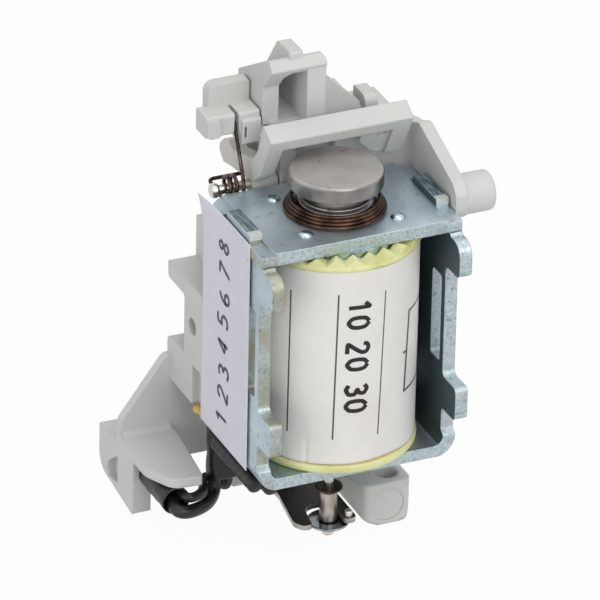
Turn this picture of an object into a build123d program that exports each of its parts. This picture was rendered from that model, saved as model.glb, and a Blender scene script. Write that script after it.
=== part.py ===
from build123d import *
from math import atan, degrees, pi, radians, tan
import os

# Undervoltage release of a moulded-case circuit breaker, in millimetres.
# X points right, Y points to the back, Z points up. The origin is on the plunger's
# axis, at the underside of the yoke. The plunger is up, as with the voltage off.

# Sheet-steel frame
sheet = 2.0                # thickness of the yoke and the top plate
yoke_width = 32.0          # outside, across the side plates
yoke_depth = 19.8          # front to back, bottom plate and top plate
yoke_height = 38.0         # from the underside to the top of the side plates
bend_radius = 3.5          # outside of the two bends
edge_recess = 0.9          # the side plates' front edges lie this far back
lobe_reach = 3.8           # front lobes, beyond the bottom plate's edge
low_lobe = (8.0, 13.4)     # heights of the lower front lobes
high_lobe_drop = (6.0, 0.5)   # upper front lobes, below the top of the side plates
slot_back = 2.1            # slot's front edge, behind the bottom plate's edge
slot_width = 3.2
slot_heights = (15.3, 29.7)
rear_tab_reach = 1.0       # small tabs that locate the carrier
rear_tab_heights = ((17.0, 20.0), (24.0, 27.0))
tab_notch = 10.2           # length of the top plate's side notches
tab_front = -5.1           # staked tabs through the notches
tab_back = 3.4
tab_rise = 1.1             # above the top plate
plate_overhang = 0.2
plate_step = 0.45          # the plate's end strips are stepped down
plate_step_width = 2.2
plate_corner = 1.6         # chamfer of the two rear corners

# Rivets that hold the pole collar
rivet_spots = (7.35, 6.0)
rivet_radius = 0.75
rivet_head_radius = 0.95
rivet_head_height = 0.5

# Plunger and what moves with it
plunger_radius = 5.7
head_radius = 7.1
head_thickness = 2.45
head_top = 6.7             # above the top plate, with the plunger up
head_round = 0.4
stroke = 3.2
rod_radius = 0.75
sleeve_radius = 1.35
sleeve_length = 5.1
sleeve_foot = 13.2         # depth of the sleeve's lower end below the yoke
collar_radius = 2.15
collar_height = 0.9
flange_radius = 3.25
flange_thickness = 0.8
nub_radius = 0.95
nub_length = 1.8
rod_insert = 6.0           # length of rod pressed into the plunger

# Coil
running_gap = 0.08         # radial, rod in its bore and plunger in its tube
tube_wall = 0.4
bobbin_wall = 0.9
coil_radius = 12.2         # over the winding
tape_thickness = 0.3
label_thickness = 0.15
flange_reach = 12.9        # radius of the bobbin's flanges
low_flange = 1.5
high_flange = 0.9
tooth_height = 1.0
tooth_count = 27
tooth_ring = 2.2           # radial length of the teeth
collar_sleeve = 5.0        # the pole collar's sleeve reaches this far into the bobbin
collar_wall = 0.9
collar_flange_radius = 10.4
collar_thickness = 1.1
pole_height = 12.0         # fixed pole, above the yoke's bottom plate
stem_radius = 3.5          # the pole's stem, staked in the yoke
shim_thickness = 0.2
seat_gap = 0.02            # between fixed pieces that sit in each other

# Return spring
spring_wire = 0.65
spring_foot_radius = 7.6
spring_head_radius = 6.5
spring_turns = 3.5

# Side label
side_label_depth = (3.9, 20.9)   # behind the yoke's front edge
side_label_heights = (2.0, 40.0)
side_label_thickness = 0.15

# Trip lever, outlines from the axis of its pin
pin_behind = 2.4           # pin's axis, behind the top plate's rear edge
pin_drop = 0.4             # pin's axis, below the top plate's upper face
pin_radius = 0.75
pin_head_radius = 1.15     # domed left end
pin_head_length = 1.3
hub_radius = 1.4
arm_x = (-8.5, -6.06)
knob_right = -4.8          # right face of the hook's knob
hub_x = (-8.5, -4.4)
bar_right = 14.55
bar_depth = 3.4
bar_height = 2.5
leg_width = 2.8
leg_length = 8.7
leg_depth = 1.6
web_left = 7.0
web_thickness = 1.0

# Torsion spring on the pin
torsion_wire = 0.6
torsion_radius = 1.8       # to the middle of the wire
torsion_x = (-12.6, -10.1)
torsion_turns = 2.0
torsion_start = 166.0      # angles from the top towards the back
torsion_end = 291.5
torsion_leg = 4.3          # back from the coil to the hook
torsion_arm_end = (-10.25, 2.0, 9.9)   # in the block's slot, from the pin's axis
hook_wire_end = -6.4

# Carrier
wall = 1.6
wing_width = 4.5           # the wings reach this far in from the yoke's sides
wing_depth = 8.6           # behind the bottom plate's rear edge
shelf_heights = (19.3, 22.2)
shelf_back = 14.9          # behind the bottom plate's rear edge
box_top = 28.8
foot_top = 9.4
foot_bottom = 2.2
coil_clearance = 0.5
arm_thickness = 2.0
arm_gap = 0.4              # between the right arm and the yoke's side
peg_radius = 3.1
peg_length = 4.8
boss_inset = 4.7           # boss's hole, in from the yoke's right side
boss_depth = 4.0           # boss's hole, behind the yoke's middle
boss_radius = 3.4
boss_hole_radius = 1.75
boss_heights = (-17.0, -9.6)
boss_face = 0.9            # flat front of the boss
mark_spot = (10.3, -13.4)  # round mark on the boss's front
mark_radius = 2.7
mark_depth = 0.15
cheek_x = (-4.1, -1.5)
wall_behind = 1.7          # wall behind the top plate
wall_rise = 6.4            # above the top plate
arm_rise = 7.7
arm_peak = 6.8             # rounded top corner of the arm
corner_radius = 2.4        # inside the wall's corner into the arm
deck_rise = 9.2            # hood's deck, above the top plate
peg_spot = (-3.7, 40.4)
cove_radius = 1.1          # between the bracket's wall and floor
tongue_y = (7.7, 9.0)      # tongue of the spring block, in the hood's frame
tongue_z = (9.5, 13.0)
tongue_length = 1.7
pin_fit = 0.02

# Reset lever under the yoke, outlines from the axis of its pin
reset_behind = 7.1         # pin's axis, behind the bottom plate's rear edge
reset_drop = 12.4          # pin's axis, below the yoke
reset_sheet = 0.8
reset_gap = 0.3            # between the fork and the rod's flange
reset_pin_radius = 0.8
reset_lug_x = (-8.6, -6.1)
reset_pin_end = 6.4
reset_knuckle_radius = 1.6
stud_spot = (2.5, -1.9)
stud_radius = 0.6
stud_rise = 1.0
reset_hinge_gap = 0.06

# Leads
splice_radius = 1.35
cable_radius = 1.05
thin_cable_radius = 0.75
cable_sleeve_radius = 2.25
cable_sleeve_bore = 1.95
lead_radius = 0.5
splice_spots = ((-14.0, -1.9), (-11.4, -2.9))
splice_y = (-4.9, 10.3)
sheath_spot = (-12.1, 12.1)
sheath_size = (5.2, 3.4)
sheath_heights = (-9.4, -0.5)
cable_sleeve_spot = (-21.2, -10.1)
cable_sleeve_y = (8.6, 17.7)

# Derived places
half_width = yoke_width / 2
high_lobe = (yoke_height - high_lobe_drop[0], yoke_height - high_lobe_drop[1])
boss_spot = (half_width - boss_inset, boss_depth)
half_depth = yoke_depth / 2
plate_top = yoke_height + sheet
pin_y = half_depth + pin_behind
pin_z = plate_top - pin_drop
reset_y = half_depth + reset_behind
reset_z = -reset_drop
tube_bore = plunger_radius + running_gap
tube_radius = tube_bore + tube_wall
collar_sleeve_radius = tube_radius + seat_gap + collar_wall
bobbin_bore = tube_radius + seat_gap
collar_bottom = yoke_height - collar_thickness
head_bottom = plate_top + head_top - head_thickness
pole_top = sheet + pole_height
plunger_bottom = pole_top + shim_thickness + stroke + 0.2
label_radius = coil_radius + tape_thickness + label_thickness


def block(x, y, z):
    """Box between pairs of limits."""
    centre = ((x[0] + x[1]) / 2, (y[0] + y[1]) / 2, (z[0] + z[1]) / 2)
    return Pos(*centre) * Box(x[1] - x[0], y[1] - y[0], z[1] - z[0])


def outline(points, radii):
    """Closed flat outline with rounded corners."""
    if not isinstance(radii, (list, tuple)):
        radii = [radii] * len(points)
    return make_face(FilletPolyline(*points, radius=radii, close=True))


def side_prism(points, x, radii=0):
    """Outline in Y and Z, from one X to another."""
    face = Plane.YZ.offset(x[0]) * outline(points, radii)
    return extrude(face, amount=x[1] - x[0], dir=(1, 0, 0))


def front_prism(points, y, radii=0):
    """Outline in X and Z, from one Y to another."""
    plane = Plane(origin=(0, y[0], 0), x_dir=(1, 0, 0), z_dir=(0, -1, 0))
    return extrude(plane * outline(points, radii), amount=y[1] - y[0], dir=(0, 1, 0))


def top_prism(points, z, radii=0):
    """Outline in X and Y, from one Z to another."""
    face = Plane.XY.offset(z[0]) * outline(points, radii)
    return extrude(face, amount=z[1] - z[0], dir=(0, 0, 1))


def rod(radius, start, end):
    """Round bar between two points."""
    run = Vector(*end) - Vector(*start)
    return extrude(Plane(origin=start, z_dir=run) * Circle(radius), amount=run.length, dir=run)


def ring(outer, inner, z):
    """Tube on the plunger's axis."""
    return rod(outer, (0, 0, z[0]), (0, 0, z[1])) - rod(inner, (0, 0, z[0]), (0, 0, z[1]))


def turned(points, radii=0):
    """Outline of radius and height, turned about the plunger's axis."""
    return revolve(Plane.XZ * outline(points, radii), Axis.Z)


def mirrored(part):
    """The part and its mirror image across the plane X = 0."""
    return part + mirror(part, Plane.YZ)


def side_outline():
    """Outline of the yoke seen from the side: front lobes, rear tabs and staked tab."""
    front = -half_depth
    edge = front + edge_recess
    tip = front - lobe_reach
    points = [
        (front, 0),
        (half_depth, 0),
        (half_depth, yoke_height),
        (tab_back, yoke_height),
        (tab_back, plate_top + tab_rise),
        (tab_front, plate_top + tab_rise),
        (tab_front, yoke_height),
        (front, yoke_height),
        (front - 0.6, high_lobe[1]),
        (tip, high_lobe[1]),
        (tip, high_lobe[0]),
        (edge, high_lobe[0]),
        (edge, low_lobe[1]),
        (tip, low_lobe[1]),
        (tip, low_lobe[0]),
        (edge, low_lobe[0]),
        (edge, bend_radius + 0.8),
        (front, bend_radius),
    ]
    radii = [0.3, 0.3, 0.3, 0, 0.4, 0.4, 0, 0.3, 0.3, 2.2, 1.0, 1.0, 1.0, 0.8, 0.8, 0.7, 0.5, 0.5]
    return points, radii


def make_yoke():
    """U of sheet steel: folded strip, cut to the side outline, with slots and the pole's hole."""
    outer = half_width
    inner = half_width - sheet
    inside_radius = bend_radius - sheet
    tall = plate_top + tab_rise + 1
    deep = half_depth + lobe_reach + 1
    outside = front_prism(
        [(-outer, 0), (outer, 0), (outer, tall), (-outer, tall)],
        (-deep, deep),
        [bend_radius, bend_radius, 0, 0],
    )
    inside = front_prism(
        [(-inner, sheet), (inner, sheet), (inner, tall), (-inner, tall)],
        (-deep, deep),
        [inside_radius, inside_radius, 0, 0],
    )
    points, radii = side_outline()
    blank = side_prism(points, (-outer, outer), radii)
    yoke = (outside - inside) & blank
    for heights in rear_tab_heights:
        tab = block((inner, outer), (half_depth, half_depth + rear_tab_reach), heights)
        yoke = yoke + mirrored(tab)
    slot_y = (-half_depth + slot_back, -half_depth + slot_back + slot_width)
    corners = [
        (slot_y[0], slot_heights[0]),
        (slot_y[1], slot_heights[0]),
        (slot_y[1], slot_heights[1]),
        (slot_y[0], slot_heights[1]),
    ]
    yoke = yoke - side_prism(corners, (-outer - 1, outer + 1), 0.6)
    yoke = yoke - rod(stem_radius + seat_gap, (0, 0, -1), (0, 0, sheet + 1))
    return yoke


def make_top_plate():
    """Plate with stepped ends, open side notches for the tabs and the tube's hole."""
    half = half_width + plate_overhang
    inner = half_width - sheet
    corners = [
        (-half, -half_depth),
        (half, -half_depth),
        (half, half_depth - plate_corner),
        (half - plate_corner, half_depth),
        (-half + plate_corner, half_depth),
        (-half, half_depth - plate_corner),
    ]
    plate = top_prism(corners, (yoke_height, plate_top), [0.4, 0.4, 0.3, 0.3, 0.3, 0.3])
    step_x = (half - plate_step_width, half + 1)
    step = block(step_x, (-half_depth - 1, half_depth + 1), (plate_top - plate_step, plate_top + 1))
    notch_half = tab_notch / 2 + seat_gap
    notch = block((inner - seat_gap, half + 1), (-notch_half, notch_half), (yoke_height - 1, plate_top + 1))
    plate = plate - mirrored(step) - mirrored(notch)
    plate = plate - rod(tube_radius + seat_gap, (0, 0, yoke_height - 1), (0, 0, plate_top + 1))
    for x in (-rivet_spots[0], rivet_spots[0]):
        for y in (-rivet_spots[1], rivet_spots[1]):
            plate = plate - rod(rivet_radius + seat_gap, (x, y, yoke_height - 1), (x, y, plate_top + 1))
    return plate


def make_plate_rivets():
    """Four rivets with low domed heads; their shanks end flush under the pole collar."""
    flat = rivet_head_radius - 0.4
    profile = outline(
        [
            (0, collar_bottom),
            (rivet_radius, collar_bottom),
            (rivet_radius, plate_top),
            (rivet_head_radius, plate_top),
            (flat, plate_top + rivet_head_height),
            (0, plate_top + rivet_head_height),
        ],
        [0, 0, 0, 0, 0.3, 0],
    )
    rivet = revolve(Plane.XZ * profile, Axis.Z)
    spots = [(x, y) for x in (-rivet_spots[0], rivet_spots[0]) for y in (-rivet_spots[1], rivet_spots[1])]
    return [Pos(x, y, 0) * rivet for x, y in spots]


def make_pole_collar():
    """Steel ring under the top plate, with a sleeve that reaches into the bobbin."""
    inner = tube_radius + seat_gap
    collar = turned(
        [
            (inner, collar_bottom - collar_sleeve),
            (collar_sleeve_radius, collar_bottom - collar_sleeve),
            (collar_sleeve_radius, collar_bottom),
            (collar_flange_radius, collar_bottom),
            (collar_flange_radius, yoke_height),
            (inner, yoke_height),
        ]
    )
    for x in (-rivet_spots[0], rivet_spots[0]):
        for y in (-rivet_spots[1], rivet_spots[1]):
            collar = collar - rod(rivet_radius + seat_gap, (x, y, collar_bottom - 1), (x, y, yoke_height + 1))
    return collar


def make_bobbin():
    """Moulded bobbin: rounded lower flange, thin upper flange and a ring of teeth."""
    sleeve_bore = collar_sleeve_radius + seat_gap
    sleeve_floor = collar_bottom - collar_sleeve - seat_gap
    core = collar_sleeve_radius + seat_gap + bobbin_wall
    flange_floor = collar_bottom - high_flange
    body = turned(
        [
            (bobbin_bore, sheet),
            (flange_reach, sheet),
            (flange_reach, sheet + low_flange),
            (core, sheet + low_flange),
            (core, flange_floor),
            (flange_reach, flange_floor),
            (flange_reach, collar_bottom),
            (sleeve_bore, collar_bottom),
            (sleeve_bore, sleeve_floor),
            (bobbin_bore, sleeve_floor),
        ],
        [0, 0.6, 0.6, 0, 0, 0.3, 0.3, 0, 0, 0],
    )
    teeth = ring(flange_reach - 0.1, flange_reach - tooth_ring, (collar_bottom - 0.2, collar_bottom + tooth_height))
    half_gap = pi * flange_reach / tooth_count * 0.9
    rise = collar_bottom + tooth_height
    notch = side_prism(
        [(-half_gap, rise + 0.1), (0, collar_bottom), (half_gap, rise + 0.1)],
        (flange_reach - tooth_ring - 1, flange_reach + 1),
    )
    notches = [Rot(0, 0, 360 * i / tooth_count) * notch for i in range(tooth_count)]
    return body + (teeth - notches)


def make_winding():
    """Copper winding, as one solid ring."""
    core = collar_sleeve_radius + seat_gap + bobbin_wall
    return ring(coil_radius, core, (sheet + low_flange, collar_bottom - high_flange))


def make_winding_tape():
    """Amber tape over the winding."""
    return ring(coil_radius + tape_thickness, coil_radius, (sheet + low_flange, collar_bottom - high_flange))


def make_coil_label():
    """Paper wrap round the coil, with its two ends apart at the back."""
    paper = ring(label_radius, coil_radius + tape_thickness, (sheet + low_flange + 0.6, collar_bottom - high_flange))
    seam = block((-0.6, 0.6), (coil_radius - 2, label_radius + 1), (0, yoke_height))
    return paper - seam


def make_guide_tube():
    """Thin brass tube that guides the plunger."""
    return ring(tube_radius, tube_bore, (sheet, plate_top))


def make_pole_core():
    """Fixed steel pole with a stem staked in the yoke and a bore for the rod."""
    radius = tube_bore - seat_gap
    core = turned(
        [
            (rod_radius + running_gap, 0),
            (stem_radius, 0),
            (stem_radius, sheet),
            (radius, sheet),
            (radius, pole_top),
            (rod_radius + running_gap, pole_top),
        ],
        [0, 0.3, 0, 0, 0.5, 0.2],
    )
    return core


def make_pole_shim():
    """Thin brass washer on the pole."""
    return ring(plunger_radius - 0.6, rod_radius + running_gap, (pole_top, pole_top + shim_thickness))


def make_side_label():
    """Paper strip on the left side of the yoke."""
    y0 = -half_depth + side_label_depth[0]
    y1 = -half_depth + side_label_depth[1]
    face = -half_width - plate_overhang - seat_gap
    return block((face - side_label_thickness, face), (y0, y1), side_label_heights)


def make_plunger():
    """Turned plunger with its mushroom head and a bore for the rod."""
    plunger = turned(
        [
            (0, plunger_bottom),
            (plunger_radius, plunger_bottom),
            (plunger_radius, head_bottom),
            (head_radius, head_bottom),
            (head_radius, head_bottom + head_thickness),
            (0, head_bottom + head_thickness),
        ],
        [0, 0.6, 0.2, 0.25, head_round, 0],
    )
    bore = rod(rod_radius + seat_gap, (0, 0, plunger_bottom - 1), (0, 0, plunger_bottom + rod_insert))
    return plunger - bore


def make_push_rod():
    """Thin rod from the plunger down to the flange, with a riveted nub."""
    shoulder = -sleeve_foot - flange_thickness
    return turned(
        [
            (0, shoulder - nub_length),
            (nub_radius, shoulder - nub_length),
            (nub_radius, shoulder),
            (rod_radius, shoulder),
            (rod_radius, plunger_bottom + rod_insert),
            (0, plunger_bottom + rod_insert),
        ],
        [0, 0.6, 0, 0, 0.2, 0],
    )


def make_rod_sleeve():
    """Plated spacer tube on the rod."""
    return ring(sleeve_radius, rod_radius + seat_gap, (-sleeve_foot, -sleeve_foot + sleeve_length))


def make_rod_collar():
    """Bronze ring on top of the sleeve, flared upwards."""
    foot = -sleeve_foot + sleeve_length
    return turned(
        [
            (rod_radius + seat_gap, foot),
            (sleeve_radius + 0.1, foot),
            (collar_radius, foot + 0.55),
            (collar_radius, foot + collar_height),
            (rod_radius + seat_gap, foot + collar_height),
        ],
        [0, 0, 0.2, 0.2, 0],
    )


def make_rod_flange():
    """Thin polished disc at the rod's foot, domed below."""
    top = -sleeve_foot
    return turned(
        [
            (rod_radius + seat_gap, top),
            (rod_radius + seat_gap, top - flange_thickness),
            (nub_radius + 0.4, top - flange_thickness),
            (flange_radius, top - 0.35),
            (flange_radius, top),
        ],
        [0, 0, 0, 0.15, 0.15],
    )


def make_return_spring():
    """Conical spring between the top plate and the plunger's head."""
    low = plate_top + spring_wire / 2
    high = head_bottom - spring_wire / 2
    lean = degrees(atan((spring_foot_radius - spring_head_radius) / (high - low)))
    path = Helix(
        pitch=(high - low) / spring_turns,
        height=high - low,
        radius=spring_foot_radius,
        center=(0, 0, low),
        cone_angle=-lean,
    )
    section = Plane(origin=path @ 0, z_dir=path % 0) * RegularPolygon(spring_wire / 2, 8)
    return sweep(section, path=path, is_frenet=True)


def lever_point(along, across):
    """Place on the trip lever: along its front edge from the top, and back across it."""
    top = (-7.7, 10.4)
    run = Vector(4.0, -7.3).normalized()
    return (top[0] + run.X * along - run.Y * across, top[1] + run.Y * along + run.X * across)


def make_trip_lever():
    """Lever: left arm with a J hook, top bar, right leg and the web behind it."""
    foot = lever_point(leg_length, 0)
    arm = side_prism(
        [
            lever_point(0, 0),
            foot,
            (-1.0, 0.9),
            (6.3, -0.2),
            (9.6, -0.9),
            (11.1, 0.4),
            (11.1, 1.5),
            (9.4, 3.1),
            (8.0, 3.6),
            (6.1, 2.7),
            (-1.4, 4.9),
            (-3.0, 7.1),
            lever_point(0, bar_depth),
        ],
        arm_x,
        [0.3, 1.6, 4.0, 3.0, 0.6, 0.5, 0.8, 0.6, 0.3, 0.6, 0.8, 3.0, 0.3],
    )
    knob = side_prism(
        [(7.2, -0.3), (9.6, -0.9), (11.1, 0.4), (11.1, 1.5), (9.4, 3.1), (8.0, 3.6), (7.2, 3.2)],
        (arm_x[1] - 0.1, knob_right),
        [0.8, 0.6, 0.5, 0.8, 0.6, 0.3, 0.2],
    )
    bar = side_prism(
        [lever_point(0, 0), lever_point(bar_height, 0), lever_point(bar_height, bar_depth), lever_point(0, bar_depth)],
        (arm_x[0], bar_right),
        [0.3, 0.2, 0.2, 0.3],
    )
    leg = side_prism(
        [lever_point(0, 0), lever_point(leg_length, 0), lever_point(leg_length, leg_depth), lever_point(0, leg_depth)],
        (bar_right - leg_width, bar_right),
        [0.2, 0.6, 0.6, 0.2],
    )
    near = leg_depth - web_thickness
    front = lever_point(0, near)
    along = Vector(0, *lever_point(1, near)) - Vector(0, *front)
    web_plane = Plane(origin=(0, *front), x_dir=(1, 0, 0), z_dir=Vector(1, 0, 0).cross(along))
    web_shape = outline(
        [(web_left, bar_height - 0.3), (bar_right - 0.5, bar_height - 0.3), (bar_right - 0.5, leg_length - 0.1),
         (web_left + 3.0, leg_length - 0.1), (web_left, bar_height + 2.4)],
        [0, 0, 0.4, 2.6, 1.0],
    )
    window = outline(
        [(web_left + 2.0, bar_height + 0.5), (bar_right - leg_width - 0.4, bar_height + 0.5),
         (bar_right - leg_width - 0.4, bar_height + 2.0), (web_left + 3.2, bar_height + 2.0)],
        [0.3, 0.3, 0.5, 0.7],
    )
    web = extrude(web_plane * (web_shape - window), amount=web_thickness, dir=Vector(0, 7.3, 4.0))
    hub = rod(hub_radius, (hub_x[0], 0, 0), (hub_x[1], 0, 0))
    lever = arm + knob + bar + leg + web + hub
    lever = lever - rod(pin_radius + 0.06, (hub_x[0] - 1, 0, 0), (hub_x[1] + 1, 0, 0))
    return Pos(0, pin_y, pin_z) * lever


def make_lever_pin():
    """Plated pin with a domed left end, pressed into the carrier's cheek."""
    left = torsion_x[0] - 0.9
    pin = rod(pin_radius, (left, pin_y, pin_z), (cheek_x[1], pin_y, pin_z))
    head = rod(pin_head_radius, (left - pin_head_length, pin_y, pin_z), (left, pin_y, pin_z))
    return pin + fillet(head.edges().filter_by(GeomType.CIRCLE), 0.5)


def make_torsion_spring():
    """Torsion spring on the pin: one leg up into the block's slot, one under the lever's hook."""
    length = torsion_x[1] - torsion_x[0]
    turns = torsion_turns + (torsion_end - torsion_start) / 360
    coil = Helix(
        pitch=length / turns,
        height=length,
        radius=torsion_radius,
        center=(torsion_x[0], pin_y, pin_z),
        direction=(1, 0, 0),
        lefthand=True,
    )
    coil = coil.rotate(Axis((0, pin_y, pin_z), (1, 0, 0)), -torsion_start)
    first = coil @ 0
    last = coil @ 1
    back = -(coil % 0)
    knee = first + back * (torsion_leg / back.Y)
    low_leg = FilletPolyline((hook_wire_end, knee.Y, knee.Z), tuple(knee), tuple(first), radius=0.9)
    x, y, z = torsion_arm_end
    high_leg = FilletPolyline(tuple(last), tuple(last + coil % 1), (x, pin_y + y, pin_z + z), radius=0.6)
    parts = []
    for path in (low_leg, coil, high_leg):
        section = Plane(origin=path @ 0, z_dir=path % 0) * RegularPolygon(torsion_wire / 2, 8)
        parts.append(sweep(section, path=path, is_frenet=path is coil))
    joints = [Pos(*spot) * Sphere(torsion_wire / 2) for spot in (first, last)]
    return parts[0] + parts[1] + parts[2] + joints[0] + joints[1]


def tube_along(points, radius):
    """Round cord along straight runs that are joined by tangent arcs."""
    spots = [Vector(*point) for point in points]
    radii = []
    for before, corner, after in zip(spots, spots[1:], spots[2:]):
        turn = radians((corner - before).get_angle(after - corner))
        run = min((corner - before).length, (after - corner).length)
        radii.append(0.45 * run / tan(turn / 2))
    path = FilletPolyline(*spots, radius=radii)
    section = Plane(origin=path @ 0, z_dir=path % 0) * Circle(radius)
    cord = sweep(section, path=path)
    share = cord.volume / (pi * radius ** 2 * path.length)
    print("cord radii", [round(r, 1) for r in radii], "length", round(path.length, 1), "volume share", round(share, 3))
    return cord


def side_wing():
    """Left wing of the carrier, behind the yoke's side plate."""
    front = half_depth + seat_gap
    back = half_depth + shelf_back
    points = [
        (front, foot_bottom),
        (back, foot_bottom),
        (back, foot_top),
        (half_depth + wing_depth, foot_top),
        (half_depth + wing_depth, shelf_heights[0]),
        (back, shelf_heights[0]),
        (back, shelf_heights[1]),
        (front, shelf_heights[1]),
    ]
    left = -half_width
    wing = side_prism(points, (left, left + wing_width), [0, 0.8, 1.2, 0, 0.8, 0.8, 0.6, 0])
    reach = half_depth + rear_tab_reach + seat_gap
    for low, high in rear_tab_heights:
        pocket = block((left - 1, left + sheet + seat_gap), (0, reach), (low - seat_gap, high + seat_gap))
        wing = wing - pocket
    hole_y = half_depth + 5.6
    wing = wing - rod(1.4, (left - 1, hole_y, 15.3), (left + 3.0, hole_y, 15.3))
    recess = block((left - 1, left + 1.2), (half_depth + 1.8, half_depth + 5.4), (foot_bottom - 1, 8.9))
    return wing - recess


def back_box():
    """Middle of the carrier: back plate, hollow box on the shelf and the slab under it."""
    side = half_width - wing_width
    front = flange_reach + coil_clearance + 0.2
    back = half_depth + shelf_back
    low = shelf_heights[1]
    outer = block((-side, side), (front, back), (low - 2.9, box_top))
    hollow = block((-side + 1.2, side - 1.2), (front + wall, back + 1), (low, box_top - wall))
    rear = block((-side + 2.4, side), (back - wall, back), (low - 2.9, box_top))
    plate_back = half_depth + wing_depth
    plate = block((-side - 1, side + 1), (plate_back - wall, plate_back), (foot_bottom, low))
    slab = block((-side - 1, side + 1), (plate_back - wall, back - 0.2), (foot_top - wall, foot_top))
    return (outer - hollow) + rear + plate + slab - block((-2, 2), (back - 3, back + 1), (low + 1, box_top - 2.5))


def spine():
    """Ribbed wall behind the coil, up to the hood's deck; it is open at the back."""
    front = flange_reach + coil_clearance + 0.2
    back = half_depth + 12.1
    deck = plate_top + deck_rise
    right = half_width
    body = block((cheek_x[0], right), (front, front + wall), (box_top - 1, deck - 2.7))
    for x in ((cheek_x[0], cheek_x[0] + wall), (5.6, 5.6 + wall), (right - wall, right)):
        body = body + block(x, (front, back), (box_top - 1, deck - 2.7))
    body = body + block((cheek_x[0] - 1.2, 9.4), (half_depth + 2.3, back), (deck - wall, deck))
    body = body + block((cheek_x[0] - 1.2, 9.4), (half_depth + 2.3, half_depth + 2.3 + wall), (deck - 2.7, deck))
    body = body + block((5.6, right), (half_depth + 2.3, back), (deck - 2.7 - wall, deck - 2.7))
    body = body + block((8.0, 9.4), (front, back), (deck - 3.2, deck))
    cheek = side_prism(
        [
            (pin_y - 1.7, pin_z - 1.5),
            (front + 1, pin_z - 1.5),
            (front + 1, deck - 1),
            (half_depth + 2.3, deck - 1),
            (pin_y - 1.7, pin_z + 2.5),
        ],
        cheek_x,
        [1.2, 0, 0, 0, 1.2],
    )
    return body + cheek - rod(pin_radius + pin_fit, (cheek_x[0] - 1, pin_y, pin_z), (cheek_x[1] + 1, pin_y, pin_z))


def front_wall():
    """Wall behind the top plate, with its round corner into the right arm."""
    y0 = half_depth + wall_behind
    y1 = y0 + arm_thickness
    low = yoke_height + 0.5
    high = plate_top + wall_rise
    outer = half_width + arm_gap + arm_thickness
    front = flange_reach + coil_clearance + 0.2
    x = outer - arm_thickness - corner_radius
    y = y0 - corner_radius
    points = [(y0, low), (front + wall, low), (front + wall, low + wall), (y1, low + wall), (y1, high), (y0, high)]
    shape = side_prism(points, (5.0, x), [0, 0, 0, 0, 0.3, 0.3])
    base = block((x - 1, half_width), (y + 1, front + wall), (low, low + wall))
    bend = rod(corner_radius + arm_thickness, (x, y, low), (x, y, high))
    hollow = rod(corner_radius, (x, y, low - 1), (x, y, high + 1))
    quarter = block((x - 0.1, outer + 1), (y, y1 + 1), (low - 1, high + 1))
    corner = (bend + base - hollow) & quarter
    return shape + corner


def right_arm():
    """Arm along the yoke's right side, with the peg at its front end."""
    left = half_width + arm_gap
    under = yoke_height - 0.7
    tip = peg_spot[0] - peg_radius
    back = half_depth + wall_behind - corner_radius + 0.4
    points = [
        (back, under),
        (back, plate_top + wall_rise),
        (arm_peak, plate_top + arm_rise),
        (tip + 1.3, plate_top + 3.45),
        (tip, plate_top + 1.9),
        (tip, under),
    ]
    arm = side_prism(points, (left, left + arm_thickness), [0, 0, 1.5, 1.0, 0.8, 2.5])
    start = (left + arm_thickness, *peg_spot)
    end = (left + arm_thickness + peg_length, *peg_spot)
    peg = rod(peg_radius, start, end)
    return arm + fillet(peg.faces().sort_by(Axis.X)[-1].edges(), 0.6)


def window_box():
    """Hood over the window: left wall, lintel, right column, roof and the cavity."""
    deck = deck_rise - 0.5
    left_x = (-6.3, -3.7)
    right_x = (-0.4, 2.6)
    left_side = [(3.0, deck), (3.0, 14.8), (-0.3, 18.7), (0.8, 20.2), (1.7, 20.0), (12.0, 13.9), (12.0, deck)]
    body = side_prism(left_side, (left_x[0], right_x[1]), [0, 0.5, 0.4, 0.5, 0.3, 0.6, 0])
    column = side_prism(
        [(0.1, 6.5), (0.1, 18.9), (0.8, 20.2), (1.7, 20.0), (3.4, 19.0), (3.4, 6.5)],
        right_x,
        [0.3, 0.3, 0.5, 0.3, 0, 0],
    )
    window = front_prism(
        [
            (left_x[1], deck_rise),
            (right_x[0], deck_rise),
            (right_x[0], 17.8),
            (left_x[1] + 1.0, 17.8),
            (left_x[1], 16.8),
        ],
        (-1, 4.6),
        [0, 0, 0.3, 0.3, 0.3],
    )
    cavity = side_prism([(3.4, deck_rise), (10.4, deck_rise), (10.4, 12.8), (3.4, 16.8)], (left_x[1], right_x[0]))
    fin = side_prism([(0.6, 19.0), (0.6, 21.1), (5.2, 21.1), (9.0, 15.8), (9.0, 14.5)], (-3.1, -1.0),
                     [0, 0.3, 0.6, 0.5, 0])
    gusset = front_prism([(2.0, deck_rise - 0.5), (2.0, 17.0), (9.2, 10.0), (9.2, deck_rise - 0.5)], (2.3, 3.6),
                         [0, 0, 0.5, 0])
    face = front_prism(
        [(left_x[0], 6.0), (right_x[1], 6.0), (right_x[1], 20.4), (left_x[0], 20.4)],
        (-1, 13),
        [0, 0.6, 1.3, 0.4],
    )
    box = ((body + column) & face) - window - cavity + fin + gusset
    pocket_y = (tongue_y[0] - 0.05, tongue_y[1] + 0.05)
    pocket_z = (tongue_z[0] - 0.05, tongue_z[1] + 0.05)
    box = box - block((left_x[0] - 1, left_x[0] + tongue_length - 0.2), pocket_y, pocket_z)
    return Pos(0, half_depth, plate_top) * box


def small_lug():
    """Lug to the right of the gusset, rounded at the front."""
    lug = side_prism([(3.3, 6.0), (7.8, 6.0), (7.8, 10.0), (3.3, 10.0)], (10.6, 12.6), [0, 0, 0.4, 1.4])
    return Pos(0, half_depth, plate_top) * lug


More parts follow.
